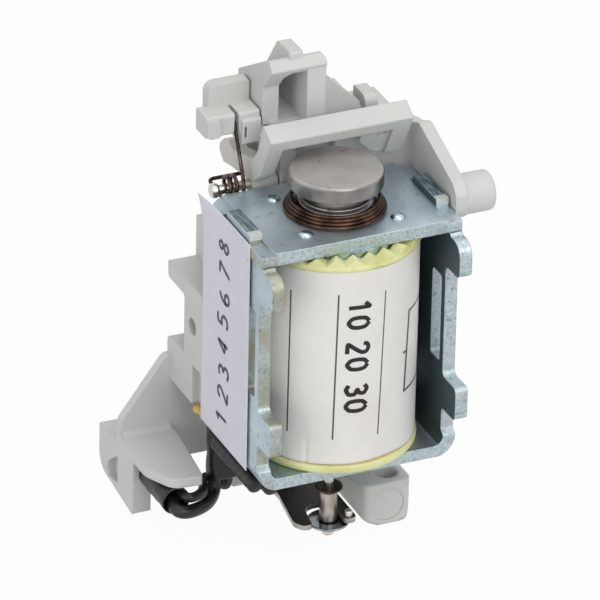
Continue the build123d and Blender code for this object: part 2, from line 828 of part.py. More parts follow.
def rear_wall():
    """Rear wall of the carrier's foot, down to the bracket."""
    back = half_depth + shelf_back
    points = [
        (-15.4, 6.3),
        (-16.9, 6.3),
        (-24.0, -3.4),
        (-24.36, -5.0),
        (-24.36, -7.7),
        (-15.3, -7.7),
        (-15.3, -11.6),
        (6.0, -11.6),
        (6.0, 9.0),
    ]
    return front_prism(points, (back - wall, back), [0, 1.2, 1.2, 0.5, 0, 0.8, 0.6, 0, 0])


def left_bracket():
    """Floor of the lower left bracket and the rib under it."""
    back = half_depth + shelf_back
    floor = top_prism(
        [(-24.36, back - 0.1), (-15.3, back - 0.1), (-17.2, 7.85), (-21.9, 8.3), (-24.36, 13.4)],
        (-7.7, -6.1),
        [0, 0, 0.5, 2.5, 4.0],
    )
    rib = side_prism(
        [(18.0, -7.5), (18.0, -17.0), (31.2, -15.0), (31.2, -7.5)],
        (-24.36, -21.4),
        [0, 0.4, 3.0, 0.6],
    )
    pocket = side_prism(
        [(24.0, -9.8), (27.9, -12.7), (27.9, -15.1), (24.0, -14.6)],
        (-25, -23.1),
        [0.3, 2.0, 0.8, 0.3],
    )
    face = back - wall
    cove = block((-23.9, -16.0), (face - cove_radius, face + 0.1), (-6.2, -6.1 + cove_radius))
    cove = cove - rod(cove_radius, (-25, face - cove_radius, -6.1 + cove_radius),
                      (-15, face - cove_radius, -6.1 + cove_radius))
    return floor + cove + (rib - pocket)


def right_boss():
    """Lower right boss with its vertical hole: flat in front, open at the back."""
    x, y = boss_spot
    low, high = boss_heights
    right = x + boss_radius
    back = half_depth + shelf_back
    plan = top_prism(
        [(4.4, back), (4.4, 6.0), (6.8, boss_face), (13.6, boss_face), (right, 2.8), (right, back)],
        (low, high),
        [0, 1.5, 1.2, 1.0, 1.0, 0],
    )
    shape = front_prism(
        [(4.4, high), (right, high), (right, low), (9.2, low), (6.4, -15.6), (4.9, -12.6)],
        (boss_face - 1, back),
        [0.3, 1.0, 3.2, 2.5, 2.0, 1.5],
    )
    side = side_prism(
        [(boss_face, low), (back, low), (back, high), (boss_face, high)],
        (0, right + 1),
        [0.6, 0, 0, 1.2],
    )
    inner = [(6.8, high - wall), (right - wall, high - wall), (right - wall, low + wall), (10.4, low + wall),
             (7.6, -14.0)]
    hollow = front_prism(inner, (y + boss_radius + wall, back + 1), [0.3, 0.3, 1.6, 1.0, 0.8])
    mark = rod(mark_radius, (*mark_spot[:1], boss_face - 1, mark_spot[1]),
               (*mark_spot[:1], boss_face + mark_depth, mark_spot[1]))
    web = block((half_width - wing_width, right), (half_depth + 3.1, back), (high - 0.5, foot_bottom + 0.5))
    hole = rod(boss_hole_radius, (x, y, low - 1), (x, y, high + 1))
    return (plan & shape & side) - hollow - mark + web - hole


def pin_lug():
    """Lug on the rear wall that holds the left end of the reset lever's pin."""
    back = half_depth + shelf_back
    points = [
        (reset_y - 2.1, reset_z - 2.1),
        (reset_y + 2.1, reset_z - 2.1),
        (back - 0.5, -11.3),
        (back - 0.5, -5.0),
        (reset_y - 2.1, reset_z + 2.1),
    ]
    return side_prism(points, reset_lug_x, [1.9, 1.9, 0, 0, 1.9])


def make_carrier():
    """Grey moulding that holds the yoke: one piece with all its walls, lugs and the hood."""
    carrier = mirrored(side_wing()) + back_box() + spine() + front_wall() + right_arm() + window_box()
    carrier = carrier + small_lug() + rear_wall() + left_bracket() + right_boss() + pin_lug()
    bore = rod(reset_pin_radius + pin_fit, (reset_lug_x[0] - 1, reset_y, reset_z), (reset_pin_end, reset_y, reset_z))
    return carrier - bore


def make_spring_block():
    """Block beside the hood: a bar with a slot for the spring, a back plate and a tongue."""
    right = -6.6
    bar = side_prism([(3.3, 7.8), (7.3, 7.8), (7.3, 11.2), (3.3, 11.2)], (-15.1, right), [0.5, 0, 0, 0.5])
    plate = front_prism([(-13.2, 8.0), (right, 8.0), (right, 14.4), (-13.2, 14.4)], (7.2, 9.3), [0.3, 0, 0.4, 1.5])
    front = side_prism([(2.7, 6.1), (7.3, 6.1), (7.3, 10.2), (2.7, 10.2)], (-9.6, right), [0.4, 0.4, 0, 0.5])
    pad = front_prism([(-15.1, 8.0), (-13.0, 8.0), (-13.0, 11.0), (-15.1, 11.0)], (2.7, 3.8), 0.5)
    tongue = block((right - 0.5, right + tongue_length), tongue_y, tongue_z)
    slot = front_prism([(-10.75, 7.0), (-9.75, 7.0), (-10.05, 13.0), (-10.45, 13.0)], (2.0, 6.6))
    slit = block((-9.2, -8.85), (2.0, 3.9), (7.2, 9.0))
    return Pos(0, half_depth, plate_top) * (bar + plate + front + pad + tongue - slot - slit)


def make_reset_lever():
    """Sheet-steel fork that straddles the rod, with a rolled knuckle round its pin."""
    low = -sleeve_foot + reset_gap
    points = [
        (-5.2, reset_y - 0.6),
        (-4.7, 8.0),
        (-6.0, -0.7),
        (-5.0, -2.3),
        (-3.6, -2.3),
        (-2.7, 3.2),
        (1.65, 3.2),
        (1.55, -2.8),
        (3.6, -2.8),
        (3.8, reset_y - 0.6),
    ]
    plate = top_prism(points, (low, low + reset_sheet), [0, 4.0, 2.0, 0.9, 0.5, 2.1, 2.1, 0.8, 0.9, 0])
    plate = plate - rod(stud_radius + seat_gap, (*stud_spot, low - 1), (*stud_spot, low + reset_sheet + 1))
    knuckle = rod(reset_knuckle_radius, (-5.2, reset_y, reset_z), (3.8, reset_y, reset_z))
    bore = rod(reset_pin_radius + reset_hinge_gap, (-6, reset_y, reset_z), (5, reset_y, reset_z))
    return plate + knuckle - bore


def make_reset_stud():
    """Bright stub riveted in the fork's right tine."""
    low = -sleeve_foot + reset_gap
    stud = rod(stud_radius, (*stud_spot, low), (*stud_spot, low + reset_sheet + stud_rise))
    return fillet(stud.faces().sort_by(Axis.Z)[-1].edges(), 0.2)


def make_reset_pin():
    """Pin of the reset lever, between the lug and the boss's body."""
    return rod(reset_pin_radius, (reset_lug_x[0], reset_y, reset_z), (reset_pin_end - 0.1, reset_y, reset_z))


def make_splice_sleeves():
    """Two black sleeves over the splices, tucked under the yoke."""
    sleeves = []
    for x, z in splice_spots:
        sleeve = rod(splice_radius, (x, splice_y[0], z), (x, splice_y[1], z))
        sleeves.append(fillet(sleeve.faces().sort_by(Axis.Y)[0].edges(), 0.9))
    return sleeves


def make_lead_sheath():
    """Flat black sheath round the leads, behind the yoke."""
    x, y = sheath_spot
    face = Plane(origin=(x, y, sheath_heights[0])) * SlotOverall(*sheath_size)
    return extrude(face, amount=sheath_heights[1] - sheath_heights[0], dir=(0, 0, 1))


def make_coil_leads():
    """Two thin leads from the bobbin's lower flange into the sheath."""
    top = sheath_heights[1]
    first = [(-6.9, 11.6, 2.9), (-9.6, 12.0, 2.3), (-11.1, 12.0, 1.2), (-11.1, 12.0, top)]
    second = [(-5.6, 12.7, 2.9), (-9.4, 13.3, 1.6), (-13.0, 12.5, 1.2), (-13.0, 12.5, top)]
    return [tube_along(points, lead_radius) for points in (first, second)]


def make_lead_cables():
    """Two black cables, looping from the sheath to the bracket."""
    foot = sheath_heights[0]
    thick = [(-21.75, 17.0, -10.65), (-21.75, 9.2, -10.65), (-21.5, 6.0, -10.9), (-16.8, 7.6, -11.4),
             (-13.4, 12.1, -12.1), (-13.4, 12.1, foot)]
    thin = [(-20.4, 17.0, -9.4), (-20.4, 9.2, -9.4), (-19.6, 6.8, -9.1), (-16.4, 9.0, -9.6),
            (-14.9, 13.8, -10.2), (-12.4, 14.8, -10.8), (-11.2, 12.1, -12.2), (-11.2, 12.1, foot)]
    return [tube_along(thick, cable_radius), tube_along(thin, thin_cable_radius)]


def make_cable_sleeve():
    """Heat-shrink sleeve under the bracket's floor."""
    x, z = cable_sleeve_spot
    start = (x, cable_sleeve_y[0], z)
    end = (x, cable_sleeve_y[1], z)
    return rod(cable_sleeve_radius, start, end) - rod(cable_sleeve_bore, start, end)


def make_lead_tape():
    """Scrap of amber tape under the carrier's left wing."""
    return block((-15.8, -12.4), (11.9, 15.1), (foot_bottom - 0.3, foot_bottom - 0.02))


nodes = {
    "yoke": make_yoke,
    "top_plate": make_top_plate,
    "plate_rivets": make_plate_rivets,
    "pole_collar": make_pole_collar,
    "bobbin": make_bobbin,
    "winding": make_winding,
    "winding_tape": make_winding_tape,
    "coil_label": make_coil_label,
    "guide_tube": make_guide_tube,
    "pole_core": make_pole_core,
    "pole_shim": make_pole_shim,
    "side_label": make_side_label,
    "plunger": make_plunger,
    "push_rod": make_push_rod,
    "rod_sleeve": make_rod_sleeve,
    "rod_collar": make_rod_collar,
    "rod_flange": make_rod_flange,
    "return_spring": make_return_spring,
    "trip_lever": make_trip_lever,
    "lever_pin": make_lever_pin,
    "torsion_spring": make_torsion_spring,
    "carrier": make_carrier,
    "spring_block": make_spring_block,
    "reset_lever": make_reset_lever,
    "reset_stud": make_reset_stud,
    "reset_pin": make_reset_pin,
    "splice_sleeves": make_splice_sleeves,
    "lead_sheath": make_lead_sheath,
    "coil_leads": make_coil_leads,
    "lead_cables": make_lead_cables,
    "cable_sleeve": make_cable_sleeve,
    "lead_tape": make_lead_tape,
}

os.makedirs("parts", exist_ok=True)
for name, make in nodes.items():
    made = make()
    solids = made if isinstance(made, list) else made.solids()
    shape = solids[0] if len(solids) == 1 else Compound(children=list(solids))
    export_step(shape, f"parts/{name}.step")
    print(name, len(solids), round(sum(solid.volume for solid in solids), 2))
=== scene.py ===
from math import radians
import bpy
import numpy as np
from mathutils import Matrix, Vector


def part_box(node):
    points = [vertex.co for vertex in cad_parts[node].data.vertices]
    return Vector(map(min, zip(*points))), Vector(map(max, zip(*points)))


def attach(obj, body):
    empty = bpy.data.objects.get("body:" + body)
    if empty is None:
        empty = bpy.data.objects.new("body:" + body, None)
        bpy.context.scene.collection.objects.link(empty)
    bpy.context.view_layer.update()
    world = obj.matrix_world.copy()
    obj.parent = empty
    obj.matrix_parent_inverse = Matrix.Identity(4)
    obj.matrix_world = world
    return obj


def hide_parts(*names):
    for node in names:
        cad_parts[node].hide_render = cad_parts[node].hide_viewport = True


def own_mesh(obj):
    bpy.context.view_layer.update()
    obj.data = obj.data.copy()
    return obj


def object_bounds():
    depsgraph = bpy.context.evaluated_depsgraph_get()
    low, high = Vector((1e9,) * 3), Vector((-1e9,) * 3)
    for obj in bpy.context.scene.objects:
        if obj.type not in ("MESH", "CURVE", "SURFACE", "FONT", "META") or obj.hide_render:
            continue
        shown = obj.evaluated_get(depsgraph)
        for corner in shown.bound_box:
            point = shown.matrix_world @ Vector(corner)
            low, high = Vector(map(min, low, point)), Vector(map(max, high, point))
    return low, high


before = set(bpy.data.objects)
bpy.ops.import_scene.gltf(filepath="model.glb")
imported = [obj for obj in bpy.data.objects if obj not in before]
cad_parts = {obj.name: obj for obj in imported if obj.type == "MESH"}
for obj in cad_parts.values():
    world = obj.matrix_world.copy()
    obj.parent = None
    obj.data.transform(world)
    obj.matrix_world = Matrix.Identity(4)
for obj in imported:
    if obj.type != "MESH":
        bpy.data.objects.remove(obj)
cad_low, cad_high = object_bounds()

# Camera. The photograph was solved for one camera at a long distance, 30 degrees above the object and
# 25 degrees to its left. Its middle ray is turned a little, so that the picture needs no shift.
camera_side = radians(24.76)
camera_height = radians(29.99)
camera_roll = radians(1.38)
camera_distance = 1.0926
pixels_per_radian = 7291.0
origin_pixel = np.array([329.76, 443.23])
picture_size = 600

toward = np.array([
    -np.sin(camera_side) * np.cos(camera_height),
    -np.cos(camera_side) * np.cos(camera_height),
    np.sin(camera_height),
])
level = np.array([np.cos(camera_side), -np.sin(camera_side), 0.0])
upright = np.cross(toward, level)
across = np.cos(camera_roll) * level + np.sin(camera_roll) * upright
upward = np.cos(camera_roll) * upright - np.sin(camera_roll) * level
aim = (np.array([picture_size / 2, picture_size / 2]) - origin_pixel) / pixels_per_radian
view_back = toward - across * aim[0] + upward * aim[1]
view_back = view_back / np.linalg.norm(view_back)
view_right = across - view_back * (across @ view_back)
view_right = view_right / np.linalg.norm(view_right)
view_up = np.cross(view_back, view_right)

camera_data = bpy.data.cameras.new("camera")
camera_data.sensor_width = 36.0
camera_data.lens = camera_data.sensor_width * pixels_per_radian / picture_size
camera_data.clip_start = 0.01
camera_data.clip_end = 100.0
camera = bpy.data.objects.new("camera", camera_data)
bpy.context.scene.collection.objects.link(camera)
placed = np.eye(4)
placed[:3, 0] = view_right
placed[:3, 1] = view_up
placed[:3, 2] = view_back
placed[:3, 3] = toward * camera_distance
camera.matrix_world = Matrix(placed.tolist())
bpy.context.scene.camera = camera


# Lead cables and coil leads. Stranded wires in soft black insulation. They run from the sheath behind
# the yoke to the sleeve under the bracket, and from the coil's lower flange into the sheath.
mm = 0.001


def display(red, green, blue):
    """Colour as seen on a screen, 0 to 255, turned into the shader's linear values."""
    seen = np.array([red, green, blue]) / 255.0
    linear = np.where(seen <= 0.04045, seen / 12.92, ((seen + 0.055) / 1.055) ** 2.4)
    return (*linear.tolist(), 1.0)


def set_sockets(tree, node, sockets):
    """Gives each socket its value, or links it to another node's output."""
    for key, value in sockets.items():
        if isinstance(value, bpy.types.NodeSocket):
            tree.links.new(value, node.inputs[key])
        else:
            node.inputs[key].default_value = value


def put(tree, kind, sockets, **settings):
    """Adds one shader node, with its settings and its sockets."""
    node = tree.nodes.new("ShaderNode" + kind)
    for key, value in settings.items():
        setattr(node, key, value)
    set_sockets(tree, node, sockets)
    return node


def calc(tree, operation, first, second=0.0, third=0.0):
    """One step of arithmetic on values."""
    return put(tree, "Math", {0: first, 1: second, 2: third}, operation=operation).outputs[0]


def times(tree, first, second):
    """Product of two values."""
    return calc(tree, "MULTIPLY", first, second)


def above(tree, value, limit):
    """One above the limit, zero below."""
    return calc(tree, "GREATER_THAN", value, limit)


def below(tree, value, limit):
    """One below the limit, zero above."""
    return calc(tree, "LESS_THAN", value, limit)


def between(tree, share, low, high):
    """Value between two others."""
    return put(tree, "MapRange", {"Value": share, "To Min": low, "To Max": high}).outputs[0]


def mixed(tree, share, first, second, most=None):
    """Colour between two others. Most is how far the mix goes where the share is one."""
    if most is not None:
        share = times(tree, share, most)
    return put(tree, "Mix", {0: share, 6: first, 7: second}, data_type="RGBA").outputs[2]


def apart(tree, triple):
    """The three values of a place or direction."""
    return put(tree, "SeparateXYZ", {0: triple}).outputs


def object_place(tree):
    """Place on the piece, in metres."""
    return put(tree, "TexCoord", {}).outputs["Object"]


def new_group(name, inputs, outputs):
    """Shader node group with named inputs and outputs."""
    tree = bpy.data.node_groups.new(name, "ShaderNodeTree")
    for label, kind, value in inputs:
        socket = tree.interface.new_socket(label, in_out="INPUT", socket_type="NodeSocket" + kind)
        if value is not None:
            socket.default_value = value
    for label, kind in outputs:
        tree.interface.new_socket(label, in_out="OUTPUT", socket_type="NodeSocket" + kind)
    return tree, tree.nodes.new("NodeGroupInput").outputs, tree.nodes.new("NodeGroupOutput").inputs


def use(tree, group, sockets):
    """Places a node group in a material."""
    node = tree.nodes.new("ShaderNodeGroup")
    node.node_tree = group
    set_sockets(tree, node, sockets)
    return node.outputs


def new_material(name, **uniform):
    """Material with one Principled shader. Uniform values go on its own sockets."""
    material = bpy.data.materials.new(name)
    material.use_nodes = True
    shader = material.node_tree.nodes["Principled BSDF"]
    for key, value in uniform.items():
        shader.inputs[key.replace("_", " ")].default_value = value
    return material, material.node_tree, shader


def feed(tree, shader, **sockets):
    """Links outputs to the shader's sockets."""
    for key, value in sockets.items():
        tree.links.new(value, shader.inputs[key.replace("_", " ")])


# Stains: soft patches from noise, stretched to a mask between two levels.
stains, given, made = new_group(
    "stains",
    [("Place", "Vector", None), ("Scale", "Float", 200.0), ("Low", "Float", 0.4),
     ("High", "Float", 0.6)],
    [("Mask", "Float")],
)
patches = put(stains, "TexNoise", {"Vector": given["Place"], "Scale": given["Scale"], "Detail": 4.0})
levels = {"Value": patches.outputs[0], "From Min": given["Low"], "From Max": given["High"]}
stains.links.new(put(stains, "MapRange", levels).outputs[0], made["Mask"])


def stain(tree, place, scale, low, high):
    """Mask of soft patches."""
    return use(tree, stains, {"Place": place, "Scale": scale, "Low": low, "High": high})["Mask"]


# Grain: fine bump from noise. Depth is in metres.
grain, given, made = new_group(
    "grain",
    [("Place", "Vector", None), ("Scale", "Float", 4000.0), ("Depth", "Float", 0.00001),
     ("Normal", "Vector", None)],
    [("Normal", "Vector")],
)
speckle = put(grain, "TexNoise", {
    "Vector": given["Place"], "Scale": given["Scale"], "Detail": 3.0, "Roughness": 0.6})
relief = put(grain, "Bump", {
    "Height": speckle.outputs[0], "Distance": given["Depth"], "Normal": given["Normal"]})
grain.links.new(relief.outputs[0], made["Normal"])


def grained(tree, place, scale, depth, normal=None):
    """Normal with a fine grain, on top of another normal where one is given."""
    sockets = {"Place": place, "Scale": scale, "Depth": depth}
    if normal is not None:
        sockets["Normal"] = normal
    return use(tree, grain, sockets)["Normal"]


# Soft edges: rounds sharp edges for the light, and gives a mask where the surface turns.
# The mask carries real edge wear in some materials and painted highlights on edges in others.
soft_edges, given, made = new_group(
    "soft_edges",
    [("Radius", "Float", 0.0002), ("Gain", "Float", 6.0)],
    [("Normal", "Vector"), ("WearAndSheen", "Float")],
)
rounding = put(soft_edges, "Bevel", {"Radius": given["Radius"]}, samples=6)
facing = put(soft_edges, "NewGeometry", {})
agree = put(soft_edges, "VectorMath", {0: rounding.outputs[0], 1: facing.outputs["Normal"]},
            operation="DOT_PRODUCT")
turned_away = calc(soft_edges, "SUBTRACT", 1.0, agree.outputs["Value"])
wear_and_sheen = put(soft_edges, "Math", {0: turned_away, 1: given["Gain"]}, operation="MULTIPLY", use_clamp=True)
soft_edges.links.new(rounding.outputs[0], made["Normal"])
soft_edges.links.new(wear_and_sheen.outputs[0], made["WearAndSheen"])


def patchy_finish(name, patches, tones, rough, grit, **uniform):
    """Finish that goes between two tones and two roughnesses in soft patches, under a fine grain. The
    patches are given by their scale and two levels, the grit by its scale and depth."""
    material, tree, shader = new_material(name, **uniform)
    place = object_place(tree)
    cloud = stain(tree, place, *patches)
    feed(tree, shader, Base_Color=mixed(tree, cloud, *tones), Roughness=between(tree, cloud, *rough),
         Normal=grained(tree, place, *grit))
    return material


def black_insulation(name, gloss, grain_depth):
    """Soft black plastic: nearly black with a purple cast, dusty patches and a faint grain."""
    return patchy_finish(
        name, (350.0, 0.45, 0.75), (display(17, 16, 20), display(38, 36, 42)), (gloss, gloss + 0.2),
        (2500.0, grain_depth), Specular_IOR_Level=0.45)


cable_black = black_insulation("cable_black", 0.38, 0.000012)


def place_piece(name, data, body, material, stands_for=None):
    """Puts a finished mesh or curve on its body, with its material and slot, and the node that it
    stands for."""
    data.materials.append(material)
    piece = bpy.data.objects.new(name, data)
    bpy.context.scene.collection.objects.link(piece)
    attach(piece, body)
    if stands_for:
        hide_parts(stands_for)
    return piece


def cord_curve(name, routes, radius, stands_for):
    """Cords on smooth NURBS lines with the CAD's route points, in millimetres, as control points."""
    data = bpy.data.curves.new(name, "CURVE")
    data.dimensions = "3D"
    data.bevel_resolution = 6
    data.use_fill_caps = True
    data.resolution_u = 24
    for points in routes:
        spline = data.splines.new("NURBS")
        spline.points.add(len(points) - 1)
        for knot, spot in zip(spline.points, points):
            knot.co = (spot[0] * mm, spot[1] * mm, spot[2] * mm, 1.0)
        spline.order_u = 3
        spline.use_endpoint_u = True
    data.bevel_depth = radius * mm
    place_piece(name, data, "frame", cable_black, stands_for)


thick_route = [(-21.75, 17.0, -10.65), (-21.75, 9.2, -10.65), (-21.5, 6.0, -10.9), (-16.8, 7.6, -11.4),
               (-13.4, 12.1, -12.1), (-13.4, 12.1, -9.4)]
thin_route = [(-20.4, 17.0, -9.4), (-20.4, 9.2, -9.4), (-19.6, 6.8, -9.1), (-16.4, 9.0, -9.6),
              (-14.9, 13.8, -10.2), (-12.4, 14.8, -10.8), (-11.2, 12.1, -12.2), (-11.2, 12.1, -9.4)]
coil_lead_routes = [
    [(-6.9, 11.6, 2.9), (-9.6, 12.0, 2.3), (-11.1, 12.0, 1.2), (-11.1, 12.0, -0.5)],
    [(-5.6, 12.7, 2.9), (-9.4, 13.3, 1.6), (-13.0, 12.5, 1.2), (-13.0, 12.5, -0.5)],
]
cord_curve("thick_cable", [thick_route], 1.05, "lead_cables")
cord_curve("thin_cable", [thin_route], 0.75, None)
cord_curve("coil_lead_wires", coil_lead_routes, 0.5, "coil_leads")


# Yoke. A U bent from 2 mm zinc plated sheet, with two long slots, forward lobes and two tabs that are
# staked over the top plate. The faces are smooth and bluish, the sheared edges pale and torn.
def scratched(tree, place, stretch, depth, normal):
    """Fine parallel scratches: noise that is drawn out along one direction."""
    stretched = put(tree, "VectorMath", {0: place, 1: stretch}, operation="MULTIPLY").outputs[0]
    return grained(tree, stretched, 1000.0, depth, normal)


def surface_normal(tree):
    """The surface's direction in the piece's own frame, as three values."""
    facing = put(tree, "NewGeometry", {}).outputs["Normal"]
    own = put(tree, "VectorTransform", {0: facing}, vector_type="NORMAL", convert_from="WORLD",
              convert_to="OBJECT")
    return [calc(tree, "ABSOLUTE", axis) for axis in apart(tree, own.outputs[0])]


def turned_to(tree, part):
    """One where the surface looks along an axis, within 60 degrees."""
    return above(tree, part, 0.5)


def inverse(tree, value):
    """One minus a value."""
    return calc(tree, "SUBTRACT", 1.0, value)


def largest(tree, first, second):
    """The larger of two values."""
    return calc(tree, "MAXIMUM", first, second)


left_side = -0.0135       # x, right of the left side plate
inner_side = 0.0145       # distance from the middle, within the side plates' inner faces
bend_top = 0.0036         # heights above the bend, the notches' floor and the top plate
notch_floor = 0.0379
tab_foot = 0.0401
crushed_front = -0.0039   # y, behind the tabs' crushed ends
hatch_pitch = 0.0004


def zinc(name, low_tone, high_tone, sheared, painted_shade_mask=None, crushed=None):
    """Zinc plate: blue-grey with iridescent patches. Sheared edges are pale, finely torn and rough, and
    a little yellow on the left. The shade mask gives faces that are painted darker, as painted shade;
    crushed gives the bright ends where a cross-hatched staking tool pressed the tabs."""
    material, tree, shader = new_material(name, Metallic=0.82)
    place = object_place(tree)
    edge = sheared(tree, place)
    soft = use(tree, soft_edges, {"Radius": 0.00022, "Gain": 5.0})
    cloud = stain(tree, place, 110.0, 0.38, 0.62)
    tint = stain(tree, place, 70.0, 0.52, 0.72)
    tarnish = stain(tree, place, 48.0, 0.42, 0.60)
    spots = stain(tree, place, 900.0, 0.60, 0.70)
    face = mixed(tree, cloud, low_tone, high_tone)
    face = mixed(tree, tint, face, display(190, 176, 194), 0.5)
    face = mixed(tree, tarnish, face, display(140, 158, 168), 0.5)
    torn = stain(tree, place, 2600.0, 0.30, 0.70)
    dirt = stain(tree, place, 1500.0, 0.58, 0.70)
    cut = mixed(tree, torn, display(160, 175, 181), display(196, 207, 210))
    left = below(tree, apart(tree, place)[0], left_side)
    yellow = times(tree, left, stain(tree, place, 210.0, 0.36, 0.56))
    cut = mixed(tree, yellow, cut, display(158, 158, 138), 0.85)
    cut = mixed(tree, dirt, cut, display(118, 120, 114), 0.5)
    colour = mixed(tree, edge, face, cut)
    if painted_shade_mask:
        # Painted shade: the masked faces go towards a dark blue-grey.
        colour = mixed(tree, painted_shade_mask(tree, place), colour, display(58, 78, 86), 0.85)
    # Painted highlight: pale rims along the faces' edges; the sheared edges' rims are made darker.
    rim = mixed(tree, edge, display(232, 236, 234), display(132, 128, 118))
    colour = mixed(tree, soft["WearAndSheen"], colour, rim, 0.5)
    colour = mixed(tree, spots, colour, display(104, 108, 106), 0.45)
    rough = calc(tree, "ADD", between(tree, edge, 0.34, 0.46), times(tree, cloud, 0.08))
    normal = scratched(tree, place, (0.6, 0.6, 3.0), 0.000004, soft["Normal"])
    rugged = times(tree, edge, calc(tree, "MULTIPLY_ADD", left, 0.000022, 0.000010))
    depth = calc(tree, "ADD", rugged, 0.000004)
    normal = grained(tree, place, 2600.0, depth, normal)
    if crushed:
        pressed = crushed(tree, place)
        colour = mixed(tree, pressed, colour, display(226, 228, 222), 0.8)
        parts = apart(tree, place)
        rows = calc(tree, "SINE", times(tree, parts[0], 2 * np.pi / hatch_pitch))
        along = calc(tree, "ADD", parts[1], parts[2])
        columns = calc(tree, "SINE", times(tree, along, 2 * np.pi / hatch_pitch))
        hatch = times(tree, times(tree, rows, columns), pressed)
        normal = put(tree, "Bump", {"Height": hatch, "Distance": 0.00008, "Normal": normal}).outputs[0]
    feed(tree, shader, Base_Color=colour, Roughness=rough, Normal=normal)
    return material


def yoke_edges(tree, place):
    """The sheet's sheared edges: faces to the front and back, and the lobes' ends above the bend."""
    _, y, z = surface_normal(tree)
    height = apart(tree, place)[2]
    lobes = times(tree, above(tree, height, bend_top), inverse(tree, above(tree, height, tab_foot)))
    return largest(tree, turned_to(tree, y), times(tree, lobes, turned_to(tree, z)))


def plate_edges(tree, place):
    """Everything that isn't the top or underside."""
    return inverse(tree, turned_to(tree, surface_normal(tree)[2]))


def painted_shade_faces(tree, place):
    """Painted shade: the faces of the side plates that look at the coil, the floor of the top plate's
    notches, and the staked tabs' tops, where pale streaks are left."""
    x, _, z = surface_normal(tree)
    parts = apart(tree, place)
    inside = below(tree, calc(tree, "ABSOLUTE", parts[0]), inner_side)
    inside = times(tree, inside, turned_to(tree, x))
    drawn = put(tree, "VectorMath", {0: place, 1: (1.0, 0.12, 1.0)}, operation="MULTIPLY").outputs[0]
    streaks = times(tree, stain(tree, drawn, 2600.0, 0.42, 0.62), above(tree, parts[2], tab_foot))
    tops = times(tree, above(tree, parts[2], notch_floor), turned_to(tree, z))
    return largest(tree, inside, times(tree, tops, inverse(tree, times(tree, streaks, 0.8))))


def tab_ends(tree, place):
    """The front ends of the staked tabs above the top plate: their front faces, and the first part of
    their tops."""
    _, y, z = surface_normal(tree)
    parts = apart(tree, place)
    tops = times(tree, below(tree, parts[1], crushed_front), turned_to(tree, z))
    return times(tree, above(tree, parts[2], tab_foot), largest(tree, tops, turned_to(tree, y)))


def finish(node, material):
    """Gives a CAD node its material."""
    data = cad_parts[node].data
    data.materials.clear()
    data.materials.append(material)


yoke_steel = zinc("yoke_steel", display(166, 186, 197), display(194, 209, 216), yoke_edges, painted_shade_faces,
                  tab_ends)
finish("yoke", yoke_steel)


# Top plate and pole collar. Zinc plated sheet like the yoke's, with stepped ends and side notches. The
# steel collar under it is held by the four rivets, and is plated as they are.
# Painted light: the plate's tones are lighter than the yoke's, though both are the same zinc plated
# sheet.
lit_plate_steel = zinc("lit_plate_steel", display(186, 204, 213), display(214, 226, 230), plate_edges)
finish("top_plate", lit_plate_steel)
rivet_steel = patchy_finish(
    "rivet_steel", (900.0, 0.4, 0.6), (display(152, 170, 180), display(198, 212, 218)), (0.24, 0.36),
    (1500.0, 0.00002), Metallic=1.0)
finish("pole_collar", rivet_steel)


# Bobbin. One moulding in pale yellow-green plastic that lets some light through, with a toothed upper
# flange and a rounded lower one.
bobbin_plastic, tree, shader = new_material(
    "bobbin_plastic", Subsurface_Weight=0.25, Subsurface_Radius=(0.001, 0.001, 0.0004),
    Subsurface_Scale=1.0, Specular_IOR_Level=0.5)
place = object_place(tree)
soft = use(tree, soft_edges, {"Radius": 0.00015, "Gain": 4.0})
cloud = stain(tree, place, 160.0, 0.35, 0.65)
colour = mixed(tree, cloud, display(206, 207, 138), display(224, 226, 172))
grime = stain(tree, place, 420.0, 0.60, 0.78)
colour = mixed(tree, grime, colour, display(150, 140, 80), 0.35)
rough = between(tree, cloud, 0.30, 0.42)
normal = grained(tree, place, 1400.0, 0.00002, soft["Normal"])
feed(tree, shader, Base_Color=colour, Roughness=rough, Normal=normal)
finish("bobbin", bobbin_plastic)


# Winding and its tape. Enamelled copper wire, wound in even layers and closed by two turns of amber
# film. Only the tape's edges show, above and below the paper.
wire_pitch = 0.00022
winding_wire, tree, shader = new_material("winding_wire", Metallic=1.0, Roughness=0.35)
place = object_place(tree)
turn = calc(tree, "SINE", times(tree, apart(tree, place)[2], 2 * np.pi / wire_pitch))
groove = put(tree, "Bump", {"Height": turn, "Distance": 0.00004})
cloud = stain(tree, place, 300.0, 0.4, 0.6)
feed(tree, shader, Base_Color=mixed(tree, cloud, display(150, 82, 44), display(188, 112, 66)),
     Normal=groove.outputs[0])
finish("winding", winding_wire)

amber_film = patchy_finish(
    "amber_film", (260.0, 0.35, 0.65), (display(190, 142, 52), display(214, 172, 84)), (0.28, 0.4),
    (900.0, 0.00004), Coat_Weight=0.3, Coat_Roughness=0.15)
finish("winding_tape", amber_film)


# Coil label. A paper wrap with three thin rules and a plain box. Its lower edge waves, and it has a
# small crease at the lower left. It is glued round the coil, with a gap between its ends.
def quads_of(number):
    """Faces between neighbouring rows and columns of numbered points."""
    quads = np.stack([number[:-1, :-1], number[1:, :-1], number[1:, 1:], number[:-1, 1:]], -1)
    return quads.reshape(-1, 4)


